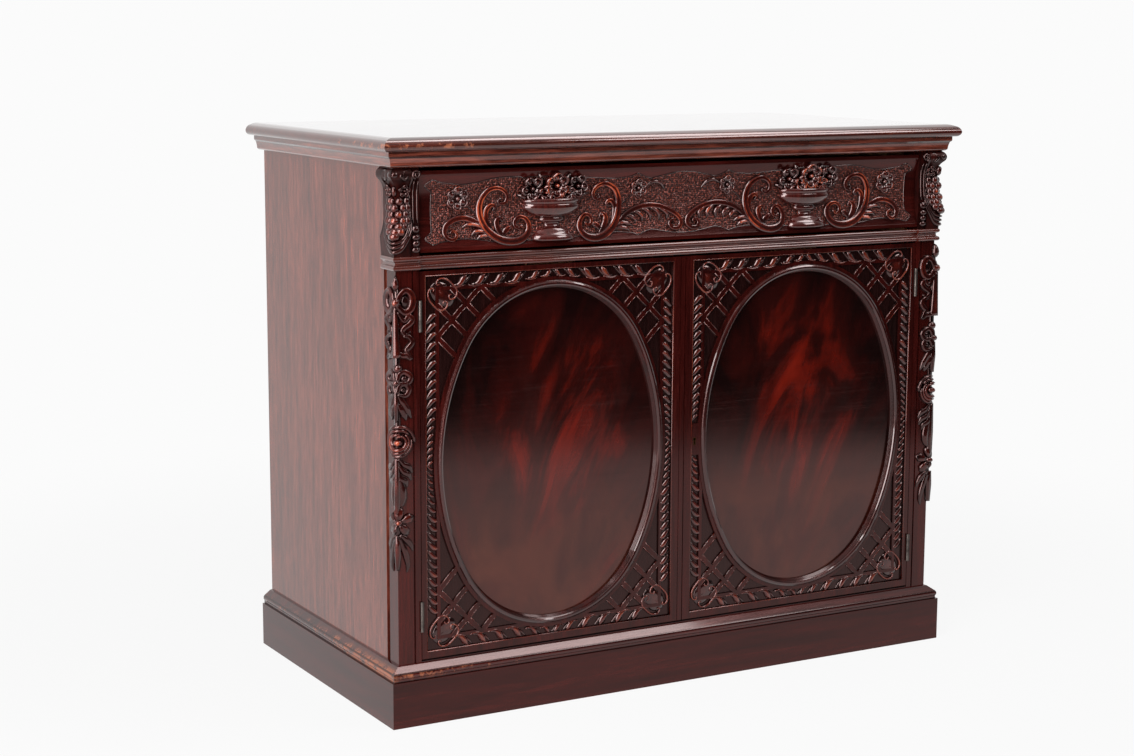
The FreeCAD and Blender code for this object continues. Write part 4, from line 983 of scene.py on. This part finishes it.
def corbel_carving(bench):
    """Grapes and flowers in a shield with banded foot, and the narrow strip beside it."""
    rows = ((850, (-18, -6, 7, 19)), (840, (-22, -12, 0, 12, 21)), (830, (-17, -6, 6, 17)),
            (820, (-20, -11, 0, 11, 20)), (811, (-14, -5, 6, 14)), (803, (-7, 1, 8)), (796, (0,)))
    for z, places in rows:
        for s in places:
            bench.bead((s, z), 7.8, 6.4, 7.4 if abs(s) < 14 else 5.8)
    for s in (-15, 15):
        bench.flower((s, 866), 10, 5, 6)
        bench.bead((s * 1.35, 857), 7, 3.2, 4, 30 if s > 0 else -30, 0.5)
    bench.bead((0, 866), 9, 4.5, 7, 0, 0.4)
    for grow, width in ((0, 2.6), (7, 3.2), (14.5, 3.8)):
        half = [(0, 785 - grow), (9, 790 - grow * 0.95), (17, 800 - grow * 0.8), (22 + grow * 0.3, 815 - grow * 0.6),
                (24 + grow * 0.1, 836)]
        line = [(-s, z) for s, z in reversed(half[1:])] + half
        bench.stroke(curved(line), (0.8, width, width, width, 0.8), (1.6, 3.6, 4.4, 3.6, 1.6))
    for side in (-1, 1):
        line = [(side * s, z) for s, z in ((24, 838), (25, 856), (24, 874), (25, 886), (20, 897), (11, 897), (8, 889),
                                           (13, 884), (17, 889))]
        bench.stroke(curved(line), (1.2, 1.4, 2.2, 3.4, 2.8, 1.4), (1.6, 1.8, 2.4, 3, 2.6))
    bench.bead((0, 893), 7, 5, 4)
    for s in (29.5, 36.5):
        bench.stroke(curved([(s, 881), (s + 0.6, 850), (s, 816)]), (1.2, 1.9, 1.4), (2.6, 3.6, 3))
    bench.stroke(spiral((33, 892), 7.6, 1.6, 250, -1.6), (2.6, 2.2, 1.2), (4, 3.6, 4), 8)
    for z, long, wide in ((806, 6.5, 7.5), (793, 5, 8), (783, 5.5, 7), (773, 5, 8)):
        bench.bead((33, z), long, wide, 4.2)


class CHIFFONIER_OT_corbels(bpy.types.Operator):
    """Carve the two corbels with grapes, flowers and bands"""
    bl_idname = "chiffonier.corbels"
    bl_label = "Carve Corbels"

    def execute(self, context):
        for word, hand in SIDES:
            bench = Bench()
            corbel_carving(bench)
            bench.finish(f"corbel_{word}_carving", "carcase", "rubbed mahogany",
                         round_corner(hand, corbel_swell), CORBEL_FULL)
        return {"FINISHED"}


# Festoons

def festoon_face(bench, rise):
    """What a festoon has on one face of the post, from its bow to its drop."""
    high = heights(rise)
    bow = [(2, 690), (7, 704), (16, 710), (25, 704), (28, 692), (24, 680), (15, 675), (7, 680), (3, 689)]
    bench.stroke(curved(bow), (3.0, 5.4, 6.8, 7.2, 6.0, 3.2), high(0.9, 1, 1, 0.9), 12, 0.4)
    bench.bead((16, 692), 11, 8, rise * 0.4)
    tails = ([(4, 676), (8, 667), (14, 662), (21, 669), (27, 663), (22, 656), (14, 651), (10, 645), (16, 639),
              (24, 643)],
             [(12, 637), (21, 636), (27, 628), (22, 620), (17, 615), (21, 607), (26, 600)],
             [(3, 612), (9, 607), (16, 606), (24, 599)])
    for places in tails:
        bench.stroke(curved(places), (2.4, 4.8, 5.6, 4.6, 2.0), high(0.7, 0.9, 0.8, 0.6), 12, 0.4)
    for z, reach in ((570, 23), (551, 20)):
        loop = [(2, z - 4), (5, z + 7), (13, z + 10), (reach, z + 3), (reach - 2, z - 6), (11, z - 9), (3, z - 6)]
        bench.stroke(curved(loop), (2.6, 4.8, 5.6, 4.6, 2.2), high(0.8, 0.9, 0.8), 12, 0.35)
    bench.bead((13, 569), 6, 7, rise * 0.55)
    bench.bead((11, 551), 5, 6, rise * 0.5)
    for places in ([(2, 548), (9, 533), (18, 518), (25, 505)], [(2, 530), (8, 520), (13, 510), (16, 502)]):
        bench.stroke(curved(places), (2.2, 5.6, 6.0, 1.2), (*high(0.6, 0.85, 0.7), 2), 12, 0.35)
    for places in ([(3, 441), (11, 431), (20, 426), (26, 416)], [(3, 430), (10, 419), (19, 414), (24, 404)],
                   [(2, 418), (7, 407), (14, 403), (17, 394)]):
        bench.stroke(curved(places), (2.0, 5.0, 5.4, 1.4), (*high(0.6, 0.8, 0.7), 2), 12, 0.3)
    bench.stroke(curved([(4, 408), (8, 392), (9, 376), (6, 364)]), (5, 8, 8, 4), high(0.6, 0.7, 0.6))
    for places in ([(3, 312), (9, 296), (14, 280), (17, 264), (15, 254)], [(4, 316), (14, 308), (22, 298), (26, 288)]):
        bench.stroke(curved(places), (2.4, 5.4, 5.6, 3.6, 1.2), (*high(0.6, 0.8, 0.65), 2), 12, 0.35)


def festoon_corner(bench, rise):
    """What a festoon has on the post's edge itself."""
    high = heights(rise)
    bench.bead((0, 722), 13, 7.5, rise, 0, 0.6)
    bench.bead((0, 691), 9, 6.5, rise * 1.15)
    bench.stroke(curved([(0, 684), (0, 655), (0, 628), (0, 604)]), (3.5, 5, 6.5, 8.5), high(0.8, 0.9, 1))
    bench.bead((2, 586), 8, 8, rise * 0.9)
    bench.bead((0, 563), 7, 6, rise)
    bench.stroke(curved([(0, 556), (0, 530), (0, 500)]), (3, 4.5, 3), high(0.7, 0.8, 0.6))
    for reach, turn in ((26.7, 0), (20.05, 40), (13.4, 80)):
        bench.stroke(spiral((2, 467), reach, reach * 0.8, turn, 1.03, 22), (3.2, 4.4, 4.4, 2.0),
                     (rise * (1.18 - reach / 60), rise * (1.3 - reach / 60)), 8)
    bench.bead((2, 467), 6.5, 6.5, rise * 1.2)
    for index in range(5):
        angle = math.radians(90 + 72 * index)
        tip = [(2 + reach * math.cos(angle), 337 + reach * math.sin(angle)) for reach in (4, 12, 20, 27)]
        bench.stroke(curved(tip, 3), (3, 7.5, 8.5, 2), (*high(0.8, 1, 0.85), 2), 12, 0.4)
    bench.bead((2, 337), 6, 6, rise * 1.15)
    bench.stroke(curved([(0, 442), (0, 410), (0, 375), (0, 350)]), (4, 5, 6, 4), high(0.7, 0.8, 0.7))
    bench.stroke(curved([(0, 316), (0, 300), (0, 280), (0, 259)]), (3, 6, 6, 3.5), high(0.7, 0.8, 0.6))
    bench.stroke([Vector((0, z)) for z in (725, 640, 550, 450, 350, 262)], (5, 7, 7, 5), (2.6, 3, 2.6))


class CHIFFONIER_OT_festoons(bpy.types.Operator):
    """Carve the ribbon festoons on the posts"""
    bl_idname = "chiffonier.festoons"
    bl_label = "Carve Festoons"

    def execute(self, context):
        rise = context.scene.chiffonier_carving.festoon_rise / MM
        for word, hand in SIDES:
            bench = Bench()
            festoon_face(bench, rise)
            bench.mirrored(True)
            festoon_corner(bench, rise)
            piece = bench.finish(f"festoon_{word}_carving", "carcase", "rubbed mahogany",
                                 round_corner(hand, lambda up: 0.0), rise * 1.15)
            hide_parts(f"festoon_{word}")
        return {"FINISHED"}


# Finishes

def pair(*names):
    """Names of the left and the right node of each kind."""
    return tuple(f"{name}_{word}" for name in names for word, _ in SIDES)


INNER = {
    "X": ("shelf", "dust_board", "drawer_back", "drawer_bottom", "plinth_back", "top_rail", "door_stops"),
    "Y": ("shelf_bearers", "drawer_guides", "drawer_kickers", "drawer_stops", *pair("drawer_side")),
    "Z": ("plinth_corner_blocks",),
}
POLISHED = {
    "X": ("drawer_front", "plinth_front"),
    "Y": pair("plinth"),
    "Z": pair("corner_post", "festoon", "urn"),
}
MOULDED = {"X": ("cornice_front",), "Y": pair("cornice")}
DRESSED = {
    "polished top": ("top_board",),
    "faded mahogany": pair("side_panel"),
    "door mahogany": ("door_left_frame", "door_right_frame"),
    "old polish": pair("corbel"),
    "oval mahogany": ("door_left_oval_moulding", "door_right_oval_moulding"),
    "waist mahogany": ("waist_rail", *pair("waist_block")),
    "worn top edge": ("top_edge_front", *pair("top_edge")),
    "worn plinth moulding": ("plinth_moulding_front", *pair("plinth_moulding")),
    "lipped board": ("bottom_board",),
    "back boards": ("back_boards",),
    "flame veneer left": ("door_left_panel",),
    "flame veneer right": ("door_right_panel",),
    "aged brass": ("lock_case", "lock_keep", "bolt_plates"),
    "dark brass": ("keyhole_escutcheon",),
    "dull steel": ("hinge_post_leaves", *pair("hinge_door_leaves"), "hinge_pins", "top_bolt", "bottom_bolt",
                   "lock_bolt"),
}
BACK_COUNT = 3
LIP_DEPTH = 0.014
SHARP_ANGLE = math.radians(33)


def dress(names, material):
    for name in names:
        data = frame["nodes"][name].data
        data.materials.clear()
        data.materials.append(bpy.data.materials[material])
        data.shade_smooth()
        data.set_sharp_from_angle(angle=SHARP_ANGLE)


class CHIFFONIER_OT_finishes(bpy.types.Operator):
    """Polish the wood and give the fittings their metal"""
    bl_idname = "chiffonier.finishes"
    bl_label = "Polish and Finish"

    def execute(self, context):
        polish = context.scene.chiffonier_polish
        low, high = CAD_BOX
        edge_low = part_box("plinth_moulding_front")[0]
        cornice_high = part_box("cornice_front")[1].z
        for axis in "XYZ":
            polished_wood(f"mahogany along {axis}", axis, polish, deep=0.15)
            dress(POLISHED[axis], f"mahogany along {axis}")
            plain_wood(f"inner wood along {axis}", axis)
            dress(INNER[axis], f"inner wood along {axis}")
        for axis, names in MOULDED.items():
            # The cornice's quirks get painted shade lines
            polished_wood(f"moulded mahogany along {axis}", axis, polish, faded=0.44, coat=1.0, haze=0.02,
                          quirks=((cornice_high - 0.0095, 0.0024), (cornice_high - 0.0005, 0.001)))
            dress(names, f"moulded mahogany along {axis}")
        polished_wood("oval mahogany", "Z", polish, coat=1.0, haze=0.05, deep=0.4)
        polished_wood("urn mahogany", "Z", polish, faded=0.03, coat=1.0, haze=0.06)
        polished_wood("waist mahogany", "X", polish, faded=0.14, coat=1.0)
        polished_wood("faded mahogany", "Z", polish, faded=0.42, coat=0.5)
        polished_wood("polished top", "X", polish, coat=1.0)
        # Door frames get painted shade on the ground of their sunk fields
        polished_wood("door mahogany", "Z", polish, sunk=True, deep=0.3)
        polished_wood("worn top edge", "X", polish, (low.x, low.y, high.z - 0.012), faded=0.14, coat=1.0)
        # Worn plinth edge, with painted shade lines in its two quirks
        polished_wood("worn plinth moulding", "X", polish, tuple(edge_low + Vector((0, 0, 0.01))), rubbed=0.01,
                      quirks=((edge_low.z + 0.001, 0.0016), (edge_low.z + 0.0135, 0.0018)), coat=0.5)
        plain_wood("lipped board", "X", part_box("bottom_board")[0].y + LIP_DEPTH)
        plain_wood("back boards", "Z", joint=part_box("back_boards")[1].x / BACK_COUNT)
        # Carving materials paint shade in the depths and highlights on the crests; corbels are painted dark as shade
        # beneath their carving
        carved_wood("carved mahogany", polish, tuple(polish.crest), 1.0)
        carved_wood("rubbed mahogany", polish, tuple(polish.crest), 0.4)
        carved_wood("border mahogany", polish, tuple(part * 0.35 for part in polish.crest), 0.7)
        shaded_old_polish("old polish", polish)
        punched_wood("punched mahogany", polish)
        aged_metal("aged brass", (0.12, 0.06, 0.018), (0.42, 0.25, 0.085), 0.34)
        aged_metal("dull steel", (0.045, 0.036, 0.033), (0.13, 0.11, 0.1), 0.4)
        aged_metal("dark brass", (0.03, 0.013, 0.006), (0.12, 0.06, 0.022), 0.4)
        for word, side in SIDES:
            flame_wood(f"flame veneer {word}", side, polish)
        for material, names in DRESSED.items():
            dress(names, material)
        return {"FINISHED"}


# Room, light and camera

BACKGROUND = 0.965
FLOOR_REACH = 12.0
CAMERA_PLACE = (-1.9588, -3.3296, 1.1265)
CAMERA_YAW = math.radians(29.4675)
CAMERA_PITCH = math.radians(9.3385)
CAMERA_ROLL = math.radians(0.2384)
CAMERA_LENS = 68.59
CAMERA_SENSOR = 36
# Share of background seen on the floor at a distance from the case, and the reflected floor's fade at a slanted line
FLOOR_SHARE = (0.8, 2.1, 0.93, 1.0)
IMAGE_FADE = (-2.72, -2.2, 0.03, 1.0)
IMAGE_SLANT = 0.4
# Level of the sky over its open front and above, each by a direction's part
SKY_FRONT = (-0.6, 0.3, 0.05, 1.0)
SKY_ABOVE = (0.3, 0.9, 0.0, 0.7)
# Place, aim and size of the lamps, whose powers are settings
LAMPS = {
    "key": ((-1.7, -1.7, 2.6), (0, 0, 0.5), (1.4, 1.6)),
    "fill": ((1.65, -2.0, 2.3), (0.2, -0.3, 0.7), (1.1, 0.7)),
    "strip": ((-2.35, -1.5, 0.95), (0, 0, 0.6), (2.0, 1.8)),
    "overhead": ((1.1, -0.5, 2.9), (1.0, -0.4, 0.5), (1.0, 2.0)),
}


def pale_floor(name, colour):
    """Pale paint that keeps the shadow by the case and meets the background further out.

    In polished faces the floor is white up to a line in front of the case and dark beyond it.
    """
    graph = new_material(name)
    paint = graph.add("BsdfDiffuse", {"Color": (*colour, 1)})
    light = graph.add("Emission", {"Color": (*WHITE, 1), "Strength": BACKGROUND})
    x, y, _ = graph.parts()
    slanted = graph.minus(y, graph.times(x, IMAGE_SLANT))
    image = graph.add("Emission", {"Color": (*WHITE, 1), "Strength": graph.span(slanted, *IMAGE_FADE)})
    place = graph.add("TexCoord").outputs["Object"]
    away = graph.add("VectorMath", {0: place}, operation="LENGTH").outputs["Value"]
    path = graph.add("LightPath").outputs
    share = graph.times(path["Is Camera Ray"], graph.span(away, *FLOOR_SHARE))
    lit = graph.add("MixShader", {"Fac": share})
    both = graph.add("MixShader", {"Fac": graph.math("MAXIMUM", path["Is Glossy Ray"], path["Is Transmission Ray"])})
    out = graph.add("OutputMaterial")
    for first, last in ((paint.outputs[0], lit.inputs[1]), (light.outputs[0], lit.inputs[2]),
                        (lit.outputs[0], both.inputs[1]), (image.outputs[0], both.inputs[2]),
                        (both.outputs[0], out.inputs["Surface"])):
        graph.tree.links.new(first, last)


def lay_floor(material):
    mesh = bmesh.new()
    bmesh.ops.create_grid(mesh, x_segments=1, y_segments=1, size=FLOOR_REACH)
    placed("floor", mesh, material)


def soft_lamp(name, place, aim, size, watts):
    lamp = bpy.data.lights.new(name, "AREA")
    lamp.shape = "RECTANGLE"
    lamp.size, lamp.size_y = size
    lamp.energy = watts
    made = bpy.data.objects.new(name, lamp)
    made.location = place
    made.visible_camera = False
    made.rotation_mode = "QUATERNION"
    made.rotation_quaternion = (Vector(aim) - Vector(place)).to_track_quat("-Z", "Y")
    bpy.context.scene.collection.objects.link(made)


def set_world(strength):
    """White to the camera, even from behind and above, and dark where the room opens in front."""
    world = bpy.data.worlds.new("room")
    world.use_nodes = True
    graph = Graph(world.node_tree)
    way = graph.add("SeparateXYZ", {"Vector": graph.add("TexCoord").outputs["Generated"]}).outputs
    open_front = graph.span(way["Y"], *SKY_FRONT)
    above = graph.span(way["Z"], *SKY_ABOVE)
    path = graph.add("LightPath").outputs
    level = graph.math("MAXIMUM", path["Is Glossy Ray"], strength)
    even = graph.times(graph.math("MAXIMUM", open_front, above), level)
    seen = graph.times(path["Is Camera Ray"], BACKGROUND)
    sky = graph.add("Background", {"Color": (*WHITE, 1), "Strength": graph.math("MAXIMUM", seen, even)})
    out = graph.add("OutputWorld")
    graph.tree.links.new(sky.outputs[0], out.inputs["Surface"])
    bpy.context.scene.world = world


def set_camera():
    level = Vector((math.sin(CAMERA_YAW), math.cos(CAMERA_YAW), 0))
    ahead = math.cos(CAMERA_PITCH) * level - math.sin(CAMERA_PITCH) * Vector((0, 0, 1))
    right = Vector((math.cos(CAMERA_YAW), -math.sin(CAMERA_YAW), 0))
    above = right.cross(ahead)
    tilted = math.cos(CAMERA_ROLL) * right + math.sin(CAMERA_ROLL) * above
    upward = math.cos(CAMERA_ROLL) * above - math.sin(CAMERA_ROLL) * right
    data = bpy.data.cameras.new("view")
    data.lens = CAMERA_LENS
    data.sensor_width = CAMERA_SENSOR
    camera = bpy.data.objects.new("view", data)
    turn = Matrix((tilted, upward, -ahead)).transposed().to_4x4()
    camera.matrix_world = Matrix.Translation(CAMERA_PLACE) @ turn
    bpy.context.scene.collection.objects.link(camera)
    bpy.context.scene.camera = camera


class CHIFFONIER_OT_room(bpy.types.Operator):
    """Set up the pale floor, the lamps and the camera"""
    bl_idname = "chiffonier.room"
    bl_label = "Set Up Room"

    def execute(self, context):
        room = context.scene.chiffonier_room
        pale_floor("pale floor", room.floor)
        lay_floor("pale floor")
        for name, (place, aim, size) in LAMPS.items():
            soft_lamp(name, place, aim, size, getattr(room, name))
        set_world(room.sky)
        set_camera()
        context.scene.view_settings.view_transform = "Standard"
        return {"FINISHED"}


class CHIFFONIER_PT_panel(bpy.types.Panel):
    """Settings and steps of the chiffonier"""
    bl_idname = "CHIFFONIER_PT_panel"
    bl_label = "Chiffonier"
    bl_space_type = "VIEW_3D"
    bl_region_type = "UI"
    bl_category = "Chiffonier"

    def draw(self, context):
        layout = self.layout
        for group in (context.scene.chiffonier_polish, context.scene.chiffonier_carving,
                      context.scene.chiffonier_room):
            box = layout.box()
            for name in group.__annotations__:
                box.prop(group, name)
        for step in STEPS:
            layout.operator(step.bl_idname)


STEPS = (CHIFFONIER_OT_finishes, CHIFFONIER_OT_door_carving, CHIFFONIER_OT_drawer_carving, CHIFFONIER_OT_urns,
         CHIFFONIER_OT_corbels, CHIFFONIER_OT_festoons, CHIFFONIER_OT_room)
CLASSES = (PolishSettings, CarvingSettings, RoomSettings, *STEPS, CHIFFONIER_PT_panel)


def register():
    for kind in CLASSES:
        bpy.utils.register_class(kind)
    bpy.types.Scene.chiffonier_polish = PointerProperty(type=PolishSettings)
    bpy.types.Scene.chiffonier_carving = PointerProperty(type=CarvingSettings)
    bpy.types.Scene.chiffonier_room = PointerProperty(type=RoomSettings)


def unregister():
    del bpy.types.Scene.chiffonier_room
    del bpy.types.Scene.chiffonier_carving
    del bpy.types.Scene.chiffonier_polish
    for kind in reversed(CLASSES):
        bpy.utils.unregister_class(kind)


def main():
    register()
    for step in STEPS:
        group, name = step.bl_idname.split(".")
        getattr(getattr(bpy.ops, group), name)()


if __name__ == "__main__":
    main()
